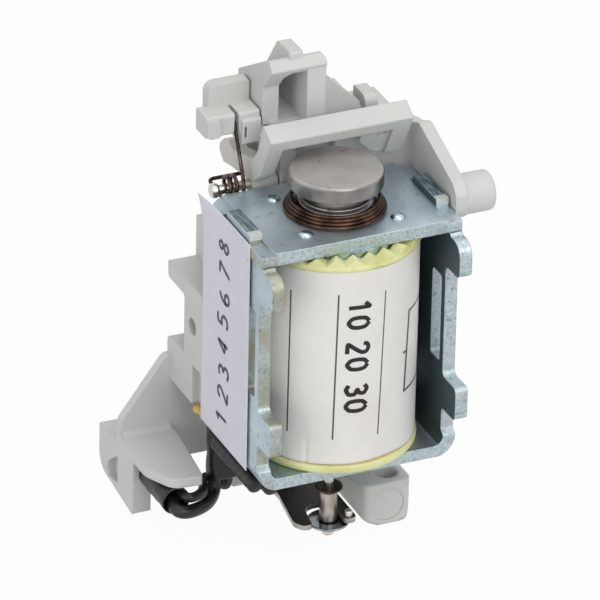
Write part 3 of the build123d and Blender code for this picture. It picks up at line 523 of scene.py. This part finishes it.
def surface(name, grid, body, material, ring=False, loop=False, caps=False, stands_for=None,
            uv=None, inner=(0.0, 0.0, 20.0)):
    """Smooth mesh on a grid of points in millimetres, rows by columns. A ring closes each row on itself,
    a loop closes the rows on each other, and caps close both ends of a tube with a point. The faces are
    turned away from an inner point: the sum of area times distance along the normals is positive."""
    rows, columns = grid.shape[:2]
    number = np.arange(rows * columns).reshape(rows, columns)
    if ring:
        number = np.hstack([number, number[:, :1]])
    if loop:
        number = np.vstack([number, number[:1]])
    quads = quads_of(number)
    points = grid.reshape(-1, 3)
    corners = points[quads] - np.array(inner)
    facing = np.cross(corners[:, 2] - corners[:, 0], corners[:, 3] - corners[:, 1])
    outward = (facing * corners.mean(1)).sum() > 0
    faces = quads.tolist()
    if caps:
        middles = np.stack([grid[0].mean(0), grid[-1].mean(0)])
        first, last = len(points), len(points) + 1
        points = np.vstack([points, middles])
        near, far = number[0], number[-1]
        faces += np.stack([np.full(len(near) - 1, first), near[:-1], near[1:]], -1).tolist()
        faces += np.stack([np.full(len(far) - 1, last), far[1:], far[:-1]], -1).tolist()
    if not outward:
        faces = [face[::-1] for face in faces]
    data = bpy.data.meshes.new(name)
    data.from_pydata((points * mm).tolist(), [], faces)
    data.polygons.foreach_set("use_smooth", np.ones(len(faces), bool))
    if uv is not None:
        layer = data.uv_layers.new(name="flat")
        corner = np.zeros(len(data.loops), np.int32)
        data.loops.foreach_get("vertex_index", corner)
        layer.data.foreach_set("uv", uv.reshape(-1, 2)[corner].astype(np.float32).ravel())
    data.update()
    return place_piece(name, data, body, material, stands_for)


def thicken(piece, thickness, offset=-1.0):
    """Gives a sheet its thickness, in millimetres. Offset 1 grows it outwards, -1 inwards."""
    wall = piece.modifiers.new("wall", "SOLIDIFY")
    wall.thickness = thickness * mm
    wall.offset = offset
    wall.use_even_offset = True


coil_paper_radius = 12.63
label_turn = np.radians(np.linspace(-177.2, 177.2, 361))[None, :]
label_rise = np.linspace(0.0, 1.0, 97)[:, None]
low_edge = 3.72 + 0.10 * np.sin(3 * label_turn + 0.6) + 0.07 * np.sin(8 * label_turn)
high_edge = 35.93 - 0.05 * np.sin(4 * label_turn)
label_z = low_edge + (high_edge - low_edge) * label_rise
crease = np.exp(-((label_turn - np.radians(-41.0)) / 0.022) ** 2) * np.exp(-((label_z - 3.5) / 3.5) ** 2)
flare = np.exp(-(label_rise / 0.05) ** 2) * (0.07 + 0.05 * np.sin(9 * label_turn + 1.0))
swell = 0.03 * np.sin(5 * label_turn + 3 * label_rise) * np.sin(np.pi * label_rise)
label_r = coil_paper_radius + flare + swell - 0.22 * crease
coil_label_grid = np.stack([label_r * np.sin(label_turn), -label_r * np.cos(label_turn), label_z], -1)
flat_unit = 100.0
label_flat = np.stack([label_turn * coil_paper_radius + 0 * label_z, label_z], -1) / flat_unit


def stroke_mask(tree, across_mm, along_mm, start, end, width):
    """Ruled line from start to end, in millimetres on the flat paper, that may lean a little."""
    lean = (end[0] - start[0]) / (end[1] - start[1])
    line = calc(tree, "MULTIPLY_ADD", along_mm, lean, start[0] - lean * start[1])
    near = below(tree, calc(tree, "ABSOLUTE", calc(tree, "SUBTRACT", across_mm, line)), width / 2)
    low, high = sorted((start[1], end[1]))
    inside = times(tree, above(tree, along_mm, low), below(tree, along_mm, high))
    return times(tree, near, inside)


coil_paper, tree, shader = new_material("coil_paper", Subsurface_Weight=0.05, Specular_IOR_Level=0.35)
place = object_place(tree)
flat = apart(tree, put(tree, "UVMap", {}, uv_map="flat").outputs[0])
round_mm = times(tree, flat[0], flat_unit)
high_mm = times(tree, flat[1], flat_unit)
rules = [
    ((-11.97, 32.1), (-12.14, 8.2), 0.26),
    ((-4.64, 32.3), (-5.08, 7.9), 0.26),
    ((2.80, 31.9), (2.01, 7.8), 0.22),
    ((8.42, 26.2), (7.49, 13.1), 0.5),
    ((14.42, 26.4), (13.49, 13.3), 0.5),
]
bars = [
    ((26.25, 8.18), (26.45, 14.66)),
    ((13.05, 7.26), (13.25, 13.74)),
    ((19.7, 7.0), (19.7, 7.95)),
    ((19.9, 14.0), (19.9, 15.0)),
]
bar_width = 0.42
ink = 0.0
for start, end, width in rules:
    ink = largest(tree, ink, stroke_mask(tree, round_mm, high_mm, start, end, width))
for start, end in bars:
    ink = largest(tree, ink, stroke_mask(tree, high_mm, round_mm, start, end, bar_width))
cloud = stain(tree, place, 130.0, 0.4, 0.75)
fibre = stain(tree, place, 2200.0, 0.3, 0.7)
paper = mixed(tree, cloud, display(230, 228, 223), display(219, 213, 205), 0.6)
paper = mixed(tree, fibre, paper, display(205, 203, 198), 0.12)
colour = mixed(tree, ink, paper, display(38, 34, 34), 0.92)
rough = between(tree, fibre, 0.42, 0.55)
normal = grained(tree, place, 1200.0, 0.00001)
feed(tree, shader, Base_Color=colour, Roughness=rough, Normal=normal)
coil_label = surface("coil_paper_wrap", coil_label_grid, "frame", coil_paper,
                     stands_for="coil_label", uv=label_flat)
thicken(coil_label, 0.12)


# Plate rivets. Four rivets with soft domed heads, which hold the pole collar under the top plate: half
# an ellipse over the plate, then the shank down to the collar's underside.
def turned_form(line, sides, x=0.0, y=0.0):
    """Profile of radius and height, turned round a vertical axis through x and y."""
    turn = np.linspace(0, 2 * np.pi, sides, endpoint=False)[None, :]
    reach, rise = line[:, :1], line[:, 1:]
    return np.stack([x + reach * np.cos(turn), y + reach * np.sin(turn), rise + 0 * turn], -1)


plate_top = 40.0
dome_radius = 1.1
dome_height = 0.5
shank_radius = 0.74
dome_turn = np.linspace(0, np.pi / 2, 14)[1:]
dome = np.stack([dome_radius * np.sin(dome_turn), plate_top + dome_height * np.cos(dome_turn)], 1)
rivet_line = np.vstack([dome, [
    [dome_radius - 0.04, plate_top],
    [shank_radius, plate_top - 0.02],
    [shank_radius, plate_top - 3.0],
]])
for number, (x, y) in enumerate([(-7.35, -6.0), (7.35, -6.0), (7.35, 6.0), (-7.35, 6.0)]):
    surface(f"plate_rivet_{number + 1}", turned_form(rivet_line, 36, x, y), "frame", rivet_steel,
            ring=True, caps=True, stands_for="plate_rivets" if number == 0 else None,
            inner=(x, y, plate_top - 1.5))


# Coil print. Plain numbers in place of the print, each a flat ribbon of ink that lies on the paper. The
# digits' points are in hundredths of their height, to the right and up.
digit_strokes = {
    "0": "30 100, 8 82, 4 50, 8 18, 30 0, 52 18, 56 50, 52 82, 30 100",
    "1": "12 76, 36 100, 36 50, 36 0",
    "2": "6 74, 12 94, 32 100, 52 90, 54 68, 32 36, 5 2, 58 0",
    "3": "6 86, 28 100, 52 86, 48 62, 26 54, 54 42, 54 14, 28 0, 4 14",
    "4": "50 30, 2 30, 38 100, 38 50, 38 0",
    "5": "52 100, 12 100, 8 56, 32 64, 56 46, 52 12, 28 0, 4 12",
    "6": "48 98, 18 72, 5 34, 16 4, 42 2, 56 24, 42 46, 16 42, 6 26",
    "7": "4 100, 56 100, 36 52, 22 0",
    "8": "30 54, 8 76, 30 100, 52 76, 30 54, 5 26, 30 0, 55 26, 30 54",
}


def ribbon(points, width, sharpness):
    """Flat ribbon: the points are joined by straight runs, evened out by a moving average, and given
    four lines beside each other at right angles to the run."""
    reach = np.concatenate([[0.0], np.cumsum(np.hypot(*np.diff(points, axis=0).T))])
    along = np.linspace(0.0, reach[-1], 90)
    line = np.stack([np.interp(along, reach, axis) for axis in points.T], 1)
    window = np.ones(sharpness) / sharpness
    padded = np.pad(line, ((sharpness // 2, sharpness // 2), (0, 0)), mode="edge")
    line = np.stack([np.convolve(axis, window, "valid") for axis in padded.T], 1)
    run = np.gradient(line, axis=0)
    run = run / np.maximum(np.hypot(run[:, :1], run[:, 1:]), 1e-9)
    side = np.stack([-run[:, 1], run[:, 0]], 1)
    offsets = np.linspace(-0.5, 0.5, 4)[:, None, None] * width
    return line[None] + offsets * side[None]


def ink_material(name, tone, fade):
    """Ink on paper, a little uneven."""
    material, tree, shader = new_material(name, Roughness=0.5, Specular_IOR_Level=0.3)
    place = object_place(tree)
    cloud = stain(tree, place, 1500.0, 0.35, 0.7)
    feed(tree, shader, Base_Color=mixed(tree, cloud, tone, fade, 0.5))
    return material


def write(name, text, place_point, height, spacing, width, sharpness, material, wobble):
    """Row of digits. place_point turns flat millimetres into a point on the paper. Each digit is a
    ribbon, and all of them are one mesh. Wobble leans and lifts each digit a little differently."""
    points, faces = [], []
    start = 0.0
    for order, sign in enumerate(text):
        if sign != " ":
            strokes = [pair.split() for pair in digit_strokes[sign].split(",")]
            strokes = np.array(strokes, float) / 100 * height
            strokes[:, 0] += strokes[:, 1] * wobble * np.sin(2.3 * order) + start
            strokes[:, 1] += wobble * height * np.cos(1.7 * order)
            flat_grid = ribbon(strokes, width, sharpness)
            rows, columns = flat_grid.shape[:2]
            number = np.arange(rows * columns).reshape(rows, columns) + sum(len(p) for p in points)
            points.append(place_point(flat_grid.reshape(-1, 2)))
            faces += quads_of(number).tolist()
        start += spacing * (0.55 if sign == " " else 1.0)
    data = bpy.data.meshes.new(name)
    data.from_pydata((np.vstack(points) * mm).tolist(), [], faces)
    return place_piece(name, data, "frame", material)


def on_coil(flat_points):
    """Reading runs down the coil and the digits' tops point to the right, round the paper."""
    line_turn, line_top, line_lean = np.radians(-14.2), 31.2, 0.012
    turn = line_turn + (flat_points[:, 1] - line_lean * flat_points[:, 0]) / coil_paper_radius
    radius = coil_paper_radius + 0.05
    return np.stack([radius * np.sin(turn), -radius * np.cos(turn), line_top - flat_points[:, 0]], 1)


print_ink = ink_material("print_ink", display(32, 28, 28), display(54, 48, 48))
write("coil_print", "10 20 30", on_coil, 3.3, 2.75, 0.66, 7, print_ink, 0.0)


# Side label. A strip of white paper glued on the yoke's left face, with plain handwritten digits. Its
# upper rear corner has come loose, and it lies a little wavy.
strip_front, strip_foot = -6.0, 2.0
strip_width, strip_height = 17.0, 38.0
strip_face = -16.245
label_back = np.linspace(0.0, 1.0, 41)[None, :]
label_up = np.linspace(0.0, 1.0, 91)[:, None]
peel = np.clip((label_back - 0.55) / 0.45, 0, 1) ** 2 * np.clip((label_up - 0.84) / 0.16, 0, 1) ** 2
ripple = 0.05 * np.sin(7 * label_up + 2 * label_back) * np.sin(np.pi * label_back)
rear_wave = 0.04 * (1 + np.sin(9 * label_up)) * label_back ** 4
side_grid = np.stack([
    strip_face - 0.9 * peel - 0.05 * np.abs(ripple) - rear_wave,
    strip_front + strip_width * label_back + 0 * label_up,
    strip_foot + strip_height * label_up + 0.45 * peel,
], -1)
side_paper, tree, shader = new_material("side_paper", Roughness=0.6, Specular_IOR_Level=0.3,
                                        Subsurface_Weight=0.05)
place = object_place(tree)
fibre = stain(tree, place, 1800.0, 0.3, 0.7)
cloud = stain(tree, place, 120.0, 0.45, 0.8)
paper = mixed(tree, fibre, display(222, 221, 230), display(204, 202, 213), 0.2)
paper = mixed(tree, cloud, paper, display(206, 204, 212), 0.4)
speck = stain(tree, place, 700.0, 0.70, 0.74)
paper = mixed(tree, speck, paper, display(90, 88, 96), 0.5)
normal = grained(tree, place, 1500.0, 0.000015)
feed(tree, shader, Base_Color=paper, Normal=normal)
side_label = surface("side_paper_strip", side_grid, "frame", side_paper,
                     stands_for="side_label")
thicken(side_label, 0.1, 1.0)


def on_side(flat_points):
    """Reading runs up the strip and the digits' tops point to the back."""
    line_y, line_z, ink_face = 1.2, 5.0, -16.43
    return np.stack([np.full(len(flat_points), ink_face), line_y + flat_points[:, 1],
                     line_z + flat_points[:, 0]], 1)


pen_ink = ink_material("pen_ink", display(50, 45, 76), display(86, 80, 112))
write("side_writing", "12345678", on_side, 3.6, 4.15, 0.48, 9, pen_ink, 0.08)


# Turned parts and pins. Inside the bobbin: a drawn brass tube, a brass washer and a steel pole staked in
# the yoke. Under the yoke, on the push rod: a bronze collar, a nickel plated sleeve and a polished disc,
# with painted shade where they meet. The pins and the stud are nickel plated.
def lathe_marks(tree, place, pitch, depth, normal):
    """Fine rings round the Z axis: a bump from noise on the height alone."""
    rings = put(tree, "CombineXYZ", {2: times(tree, apart(tree, place)[2], 1.0 / pitch)})
    turning = put(tree, "TexNoise", {"Vector": rings.outputs[0], "Scale": 1.0, "Detail": 2.0})
    sockets = {"Height": turning.outputs[0], "Distance": depth, "Normal": normal}
    return put(tree, "Bump", sockets).outputs[0]


def turned_metal(name, tones, rough, pitch, depth, contact_shade):
    """Turned metal: lathe marks of a pitch and depth, and faint stains between two tones and two
    roughnesses. The last argument gives the places that are painted dark, as painted shade where parts
    meet."""
    material, tree, shader = new_material(name, Metallic=1.0)
    place = object_place(tree)
    soft = use(tree, soft_edges, {"Radius": 0.0001, "Gain": 4.0})
    cloud = stain(tree, place, 380.0, 0.35, 0.65)
    colour = mixed(tree, cloud, *tones)
    if contact_shade:
        # Painted shade: the given places are darkened to near black.
        colour = mixed(tree, contact_shade(tree, place), colour, display(40, 35, 32), 0.85)
    feed(tree, shader, Base_Color=colour, Roughness=between(tree, cloud, *rough),
         Normal=lathe_marks(tree, place, pitch, depth, soft["Normal"]))
    return material


def sleeve_foot_shade(tree, place):
    """Painted shade: the sleeve's lowest quarter of a millimetre, where it stands on the disc."""
    foot_shade_top = -0.01295
    return below(tree, apart(tree, place)[2], foot_shade_top)


def disc_ring_shade(tree, place):
    """Painted shade: the disc's top round the sleeve's foot, the places close to the rod's axis."""
    ring_shade_radius = 0.00175
    parts = apart(tree, place)
    flat_place = put(tree, "CombineXYZ", {0: parts[0], 1: parts[1]}).outputs[0]
    reach = put(tree, "VectorMath", {0: flat_place}, operation="LENGTH").outputs["Value"]
    return below(tree, reach, ring_shade_radius)


turned_finishes = [
    ("drawn_brass", (display(196, 160, 92), display(216, 184, 118)), (0.25, 0.38), 0.0004, 0.000002,
     None, ["guide_tube", "pole_shim"]),
    ("pole_steel", (display(150, 148, 146), display(176, 174, 172)), (0.28, 0.4), 0.0001, 0.000004, None,
     ["pole_core"]),
    ("nickel", (display(190, 187, 178), display(220, 217, 209)), (0.22, 0.34), 0.00012, 0.000003, None,
     ["push_rod", "reset_stud", "reset_pin", "lever_pin"]),
    ("sleeve_nickel", (display(150, 142, 134), display(196, 190, 182)), (0.30, 0.42), 0.0003, 0.000006,
     sleeve_foot_shade, ["rod_sleeve"]),
    ("disc_steel", (display(118, 126, 130), display(158, 166, 169)), (0.16, 0.28), 0.00012, 0.000003,
     disc_ring_shade, ["rod_flange"]),
    ("collar_bronze", (display(48, 38, 32), display(92, 72, 58)), (0.3, 0.42), 0.0001, 0.000003, None,
     ["rod_collar"]),
]
for *look, nodes in turned_finishes:
    turned_finish = turned_metal(*look)
    for node in nodes:
        finish(node, turned_finish)


# Plunger. Turned steel with a mushroom head on a narrower neck. The head's top is ground in one
# direction and has small rust specks; its rim and neck keep their turning marks.
plunger_steel, tree, shader = new_material("plunger_steel", Metallic=1.0)
place = object_place(tree)
soft = use(tree, soft_edges, {"Radius": 0.00018, "Gain": 4.0})
flat_top = above(tree, surface_normal(tree)[2], 0.9)
cloud = stain(tree, place, 160.0, 0.35, 0.65)
top_tone = mixed(tree, cloud, display(162, 157, 154), display(184, 179, 176))
# Painted shade: the rim and neck are painted darker than the flat top.
rim_shade_tone = mixed(tree, cloud, display(112, 109, 107), display(164, 160, 157))
colour = mixed(tree, flat_top, rim_shade_tone, top_tone)
rust = stain(tree, place, 800.0, 0.66, 0.72)
colour = mixed(tree, rust, colour, display(118, 84, 66), 0.55)
ringed = lathe_marks(tree, place, 1.0 / 9000.0, 0.000006, soft["Normal"])
ground = scratched(tree, place, (0.3, 7.0, 1.0), 0.000005, ringed)
feed(tree, shader, Base_Color=colour, Roughness=between(tree, flat_top, 0.32, 0.44), Normal=ground)


def rounded_run(points, radii, steps=9):
    """Polyline whose corners are replaced by smooth curves: each corner is a quadratic curve between
    two points at the given distance from it."""
    points = [np.array(point, float) for point in points]
    pieces = [points[0][None]]
    share = np.linspace(0, 1, steps)[:, None]
    for before, corner, after, radius in zip(points, points[1:], points[2:], radii):
        enter = corner + (before - corner) / np.linalg.norm(before - corner) * radius
        leave = corner + (after - corner) / np.linalg.norm(after - corner) * radius
        pieces.append((1 - share) ** 2 * enter + 2 * share * (1 - share) * corner + share ** 2 * leave)
    pieces.append(points[-1][None])
    return np.vstack(pieces)


def supported(line, reach):
    """Adds a point close to both ends of each long run, so that smooth shading keeps it straight."""
    runs = []
    for start, end in zip(line, line[1:]):
        runs.append(start[None])
        length = np.linalg.norm(end - start)
        if length > 3 * reach:
            near = (end - start) / length * reach
            runs.append(np.stack([start + near, end - near]))
    runs.append(line[-1][None])
    return np.vstack(runs)


plunger_low, plunger_high = (corner[2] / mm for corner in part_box("plunger"))
head_radius, neck_radius, body_radius, bore_radius = 7.1, 4.95, 5.7, 0.77
head_under = plunger_high - 2.45
neck_foot = head_under - 2.5
bore_top = plunger_low + 6.0
axis_gap = 0.02
plunger_line = rounded_run([
    (axis_gap, bore_top), (bore_radius, bore_top), (bore_radius, plunger_low),
    (body_radius, plunger_low), (body_radius, neck_foot), (neck_radius + 0.1, neck_foot + 0.35),
    (neck_radius, head_under), (head_radius, head_under), (head_radius, plunger_high),
    (axis_gap, plunger_high),
], [0.05, 0.05, 0.6, 0.12, 0.12, 0.3, 0.2, 0.4])
plunger_grid = turned_form(supported(plunger_line, 0.06), 128)
surface("turned_plunger", plunger_grid, "plunger", plunger_steel, ring=True, caps=True,
        stands_for="plunger", inner=(0.0, 0.0, 30.0))


# Return spring. Dark bronze wire, wound as a cone. Its wide turns lie low round the neck, and the last
# one rises to the underside of the head.
def wire(path, radius, reference, sides=12):
    """Round wire: a circle carried along the path, in the frame that the run and a reference make."""
    run = np.gradient(path, axis=0)
    run = run / np.linalg.norm(run, axis=1, keepdims=True)
    side = np.cross(run, reference)
    side = side / np.linalg.norm(side, axis=1, keepdims=True)
    rise = np.cross(run, side)
    turn = np.linspace(0, 2 * np.pi, sides, endpoint=False)
    circle = np.cos(turn)[None, :, None] * side[:, None] + np.sin(turn)[None, :, None] * rise[:, None]
    return path[:, None] + radius * circle


bronze_wire = patchy_finish(
    "bronze_wire", (500.0, 0.35, 0.65), (display(50, 38, 32), display(96, 73, 59)), (0.28, 0.42),
    (2500.0, 0.000008), Metallic=1.0)

spring_wire_radius = 0.31
spring_turns, spring_start = 4.1, np.radians(124)
spring_share = np.linspace(0.0, 1.0, 900)
spring_turn = 2 * np.pi * spring_turns * spring_share + spring_start
last_rise = 1.65 * np.clip((spring_share - 0.87) / 0.13, 0, 1) ** 1.4
spring_rise = plate_top + 0.33 + 1.9 * spring_share + last_rise
spring_reach = 7.55 - 1.15 * spring_share ** 0.8
spring_path = np.stack([
    spring_reach * np.cos(spring_turn),
    spring_reach * np.sin(spring_turn),
    spring_rise,
], 1)
spring_grid = wire(spring_path, spring_wire_radius, np.array([0.0, 0.0, 1.0]))
spring = surface("cone_spring", spring_grid, "frame", bronze_wire, ring=True, caps=True,
                 stands_for="return_spring")
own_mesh(spring)


# Carrier, spring block and trip lever. Three mouldings in light grey plastic with a fine spark-eroded
# grain and slightly rounded edges, rounder at the boss under the yoke. The block's tongue is held in the
# hood's wall.
grey_plastic, tree, shader = new_material(
    "grey_plastic", Specular_IOR_Level=0.42, Subsurface_Weight=0.08,
    Subsurface_Radius=(0.001, 0.001, 0.001), Subsurface_Scale=0.6)
boss_left, boss_top = 0.0042, -0.0055
place = object_place(tree)
parts = apart(tree, place)
at_boss = times(tree, above(tree, parts[0], boss_left), below(tree, parts[2], boss_top))
edge_radius = between(tree, at_boss, 0.00028, 0.0011)
soft = use(tree, soft_edges, {"Radius": edge_radius, "Gain": 5.0})
cloud = stain(tree, place, 75.0, 0.4, 0.7)
colour = mixed(tree, cloud, display(202, 203, 200), display(193, 193, 189), 0.5)
speck = stain(tree, place, 520.0, 0.715, 0.74)
colour = mixed(tree, speck, colour, display(140, 138, 130), 0.4)
# Painted highlight: the edges are made lighter.
colour = mixed(tree, soft["WearAndSheen"], colour, display(222, 223, 220), 0.3)
rough = between(tree, cloud, 0.46, 0.58)
normal = grained(tree, place, 3800.0, 0.000014, soft["Normal"])
feed(tree, shader, Base_Color=colour, Roughness=rough, Normal=normal)
for node in ("carrier", "spring_block", "trip_lever"):
    finish(node, grey_plastic)


# Torsion spring. Dark oily wire wound on the lever's pin. One leg stands in the block's slot, the other
# reaches under the lever's hook.
spring_steel = patchy_finish(
    "spring_steel", (600.0, 0.35, 0.65), (display(58, 48, 42), display(104, 88, 76)), (0.22, 0.4),
    (2200.0, 0.00001), Metallic=1.0)
pin_y, pin_z = 12.3, 39.6
coil_left, coil_length, coil_radius = -12.6, 2.5, 1.8
coil_share = np.linspace(0, 1, 260)
coil_angle = np.radians(166.0 + 845.5 * coil_share)
coil_path = np.stack([
    coil_left + coil_length * coil_share,
    pin_y + coil_radius * np.sin(coil_angle),
    pin_z + coil_radius * np.cos(coil_angle),
], 1)
low_leg = rounded_run([(-6.4, 17.04, 38.93), (-13.02, 17.04, 38.93), coil_path[0]], [0.9])
high_leg = rounded_run([coil_path[-1], coil_path[-1] + (0.09, 0.36, 0.93), (-10.25, 14.3, 49.5)], [0.4])
torsion_path = np.vstack([low_leg[:-1], coil_path, high_leg[1:]])
torsion_grid = wire(torsion_path, 0.3, np.array([0.92, 0.32, 0.18]))
surface("torsion_wire", torsion_grid, "frame", spring_steel, ring=True, caps=True,
        stands_for="torsion_spring")


# Reset lever. Blackened sheet steel, stamped: the faces are dark, and the stamped edges are bare and
# bright.
blackened, tree, shader = new_material("blackened_steel", Metallic=0.9)
place = object_place(tree)
soft = use(tree, soft_edges, {"Radius": 0.00012, "Gain": 5.0})
bare = inverse(tree, above(tree, surface_normal(tree)[2], 0.55))
cloud = stain(tree, place, 420.0, 0.35, 0.65)
dark = mixed(tree, cloud, display(40, 38, 38), display(66, 63, 62))
light = mixed(tree, cloud, display(150, 146, 138), display(200, 197, 190))
colour = mixed(tree, bare, dark, light, 0.85)
colour = mixed(tree, soft["WearAndSheen"], colour, display(186, 182, 174), 0.6)
rough = between(tree, cloud, 0.3, 0.45)
normal = grained(tree, place, 2400.0, 0.00002, soft["Normal"])
feed(tree, shader, Base_Color=colour, Roughness=rough, Normal=normal)
finish("reset_lever", blackened)


# Splice sleeves. Two black shrink sleeves over the splices, tucked under the yoke. They are closed and
# rounded in front and ripple a little where they shrank.
shrink_black = black_insulation("shrink_black", 0.34, 0.000018)


def rounded_end(distance, tip):
    """Share of the full width at a distance from an end that is rounded like a quarter circle."""
    return np.sqrt(np.clip(1 - (1 - np.clip(distance / tip, 0, 1)) ** 2, 0.0005, 1))


def round_y(centre, y, reach, turn):
    """Points round a line along Y: the reach goes to the side and upwards."""
    x, z = centre
    return np.stack([x + reach * np.cos(turn), y + 0 * turn, z + reach * np.sin(turn)], -1)


def sleeve_skin(centre, seed):
    """Tube round a line along Y: the radius ripples along and round, and narrows over the front tip."""
    front, rear, radius = -4.9, 10.3, 1.29
    share = np.linspace(0, 1, 70)[:, None]
    turn = np.linspace(0, 2 * np.pi, 40, endpoint=False)[None, :]
    y = front + (rear - front) * share
    close = rounded_end(y - front, 0.9) * rounded_end(rear - y, 0.4)
    ripples = 1 + 0.022 * np.sin(18 * np.pi * share + seed + 2 * np.sin(turn))
    ripples = ripples + 0.02 * np.sin(3 * turn + seed)
    return round_y(centre, y, radius * close * ripples, turn)


surface("splice_skin_left", sleeve_skin((-14.0, -1.9), 0.4), "frame", shrink_black,
        ring=True, caps=True, stands_for="splice_sleeves")
surface("splice_skin_right", sleeve_skin((-11.4, -2.9), 2.1), "frame", shrink_black,
        ring=True, caps=True)


# Lead sheath. A flat black sleeve behind the yoke, in which the coil's leads meet the cables. It stands
# upright, and is drawn in a little at both ends.
sheath_low, sheath_high = -9.4, -0.5
sheath_share = np.linspace(0, 1, 60)[:, None]
sheath_turn = np.linspace(0, 2 * np.pi, 72, endpoint=False)[None, :]
sheath_z = sheath_low + (sheath_high - sheath_low) * sheath_share
ends = 0.82 + 0.18 * rounded_end(np.minimum(sheath_z - sheath_low, sheath_high - sheath_z), 0.5)


def boxy(wave):
    """Cosine or sine drawn towards a rounded box: its size is raised to two thirds."""
    return np.sign(wave) * np.abs(wave) ** (2 / 3.0)


folds = 1 + 0.02 * np.sin(5 * sheath_turn + 6 * sheath_share)
folds = folds + 0.015 * np.sin(14 * sheath_share + 2 * np.cos(sheath_turn))
sheath_grid = np.stack([
    -12.1 + 2.52 * boxy(np.cos(sheath_turn)) * ends * folds,
    12.1 + 1.64 * boxy(np.sin(sheath_turn)) * ends * folds,
    sheath_z + 0 * sheath_turn,
], -1)
surface("sheath_skin", sheath_grid, "frame", shrink_black, ring=True, caps=True,
        stands_for="lead_sheath")


# Cable sleeve. Shrink sleeve under the bracket's floor, round both cables. Its front rim is cut square,
# stands open round the cable and shines a little.
def cuff(centre, front, rear, outer, inner):
    """Tube with a wall: the section goes out along the outside, round the rear rim, and back inside."""
    along = np.linspace(front, rear, 46)
    outside = np.stack([along, np.full(46, outer)], 1)
    inside = np.stack([along[::-1], np.full(46, inner)], 1)
    rim = (outer + inner) / 2
    section = np.vstack([outside, [[rear + 0.02, rim]], inside, [[front - 0.02, rim]]])
    y, reach = section[:, :1], section[:, 1:]
    turn = np.linspace(0, 2 * np.pi, 56, endpoint=False)[None, :]
    wave = 1 + 0.018 * np.sin(4 * turn + 0.8 * y) + 0.012 * np.sin(2.2 * y)
    return round_y(centre, y, reach * wave, turn)


surface("cable_cuff", cuff((-21.2, -10.1), 8.6, 17.7, 2.22, 1.97), "frame", shrink_black,
        ring=True, loop=True, stands_for="cable_sleeve")


# Lead tape. A scrap of amber film under the carrier's left wing, where the leads leave the coil.
scrap_x = np.linspace(0, 1, 26)[None, :]
scrap_y = np.linspace(0, 1, 26)[:, None]
scrap_wave = 0.09 * np.sin(9 * scrap_x + 4 * scrap_y) * np.sin(6 * scrap_y)
scrap_curl = 0.5 * np.clip((0.25 - scrap_x) / 0.25, 0, 1) ** 2
scrap_grid = np.stack([
    -16.0 + 3.6 * scrap_x + 0.12 * np.sin(7 * scrap_y),
    11.9 + 3.2 * scrap_y + 0 * scrap_x,
    1.98 + scrap_wave - scrap_curl,
], -1)
tape_scrap = surface("tape_scrap", scrap_grid, "frame", amber_film, stands_for="lead_tape")
thicken(tape_scrap, 0.06)


# Studio. A pale floor under the lowest point that the rod reaches, a white surround, and three large
# soft lamps. The floor takes the object's shadow.
plunger_stroke = 0.0032
rod_foot = min(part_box("push_rod")[0][2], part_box("rod_flange")[0][2]) - plunger_stroke
floor_height = min(cad_low[2], rod_foot) - 0.0002
floor_reach = 6.0
floor_data = bpy.data.meshes.new("floor")
floor_signs = [(-1, -1), (1, -1), (1, 1), (-1, 1)]
floor_data.from_pydata([(x * floor_reach, y * floor_reach, floor_height) for x, y in floor_signs], [],
                       [(0, 1, 2, 3)])
floor = bpy.data.objects.new("floor", floor_data)
bpy.context.scene.collection.objects.link(floor)


def seen_directly(tree):
    """One for rays from the camera and for those mirrored by a glossy surface."""
    rays = put(tree, "LightPath", {})
    return largest(tree, rays.outputs["Is Camera Ray"], rays.outputs["Is Glossy Ray"])


floor_paint, tree, shader = new_material("floor_paint", Roughness=0.9, Specular_IOR_Level=0.1,
                                         Base_Color=display(226, 226, 226))
glow = put(tree, "Emission", {"Color": (1.0, 1.0, 1.0, 1.0), "Strength": 1.0})
glow_share = times(tree, seen_directly(tree), 0.96)
both = put(tree, "MixShader", {0: glow_share, 1: shader.outputs[0], 2: glow.outputs[0]})
tree.links.new(both.outputs[0], tree.nodes["Material Output"].inputs["Surface"])
floor_data.materials.append(floor_paint)

world = bpy.data.worlds.new("surround")
bpy.context.scene.world = world
world.use_nodes = True
tree = world.node_tree
background = tree.nodes["Background"]
clear = put(tree, "LightPath", {}).outputs["Is Transmission Ray"]
strength = between(tree, largest(tree, seen_directly(tree), clear), 0.47, 1.0)
background.inputs["Color"].default_value = (1.0, 1.0, 1.0, 1.0)
tree.links.new(strength, background.inputs["Strength"])


def soft_lamp(name, place, width, power):
    """Square lamp that faces the object's middle."""
    data = bpy.data.lights.new(name, "AREA")
    data.size = width
    data.energy = power
    lamp = bpy.data.objects.new(name, data)
    bpy.context.scene.collection.objects.link(lamp)
    place = np.array(place)
    back = place - np.array([0.0, 0.0, 0.02])
    back = back / np.linalg.norm(back)
    side = np.cross([0.0, 0.0, 1.0], back)
    side = side / np.linalg.norm(side)
    turned = np.eye(4)
    turned[:3, 0] = side
    turned[:3, 1] = np.cross(back, side)
    turned[:3, 2] = back
    turned[:3, 3] = place
    lamp.matrix_world = Matrix(turned.tolist())
    lamp.visible_camera = False


soft_lamp("key_lamp", (0.05, -0.72, 0.6), 0.7, 4.3)
soft_lamp("fill_lamp", (-0.7, -0.25, 0.25), 0.6, 1.25)
soft_lamp("top_lamp", (0.05, 0.15, 0.8), 0.6, 1.6)

scene = bpy.context.scene
scene.view_settings.view_transform = "Standard"
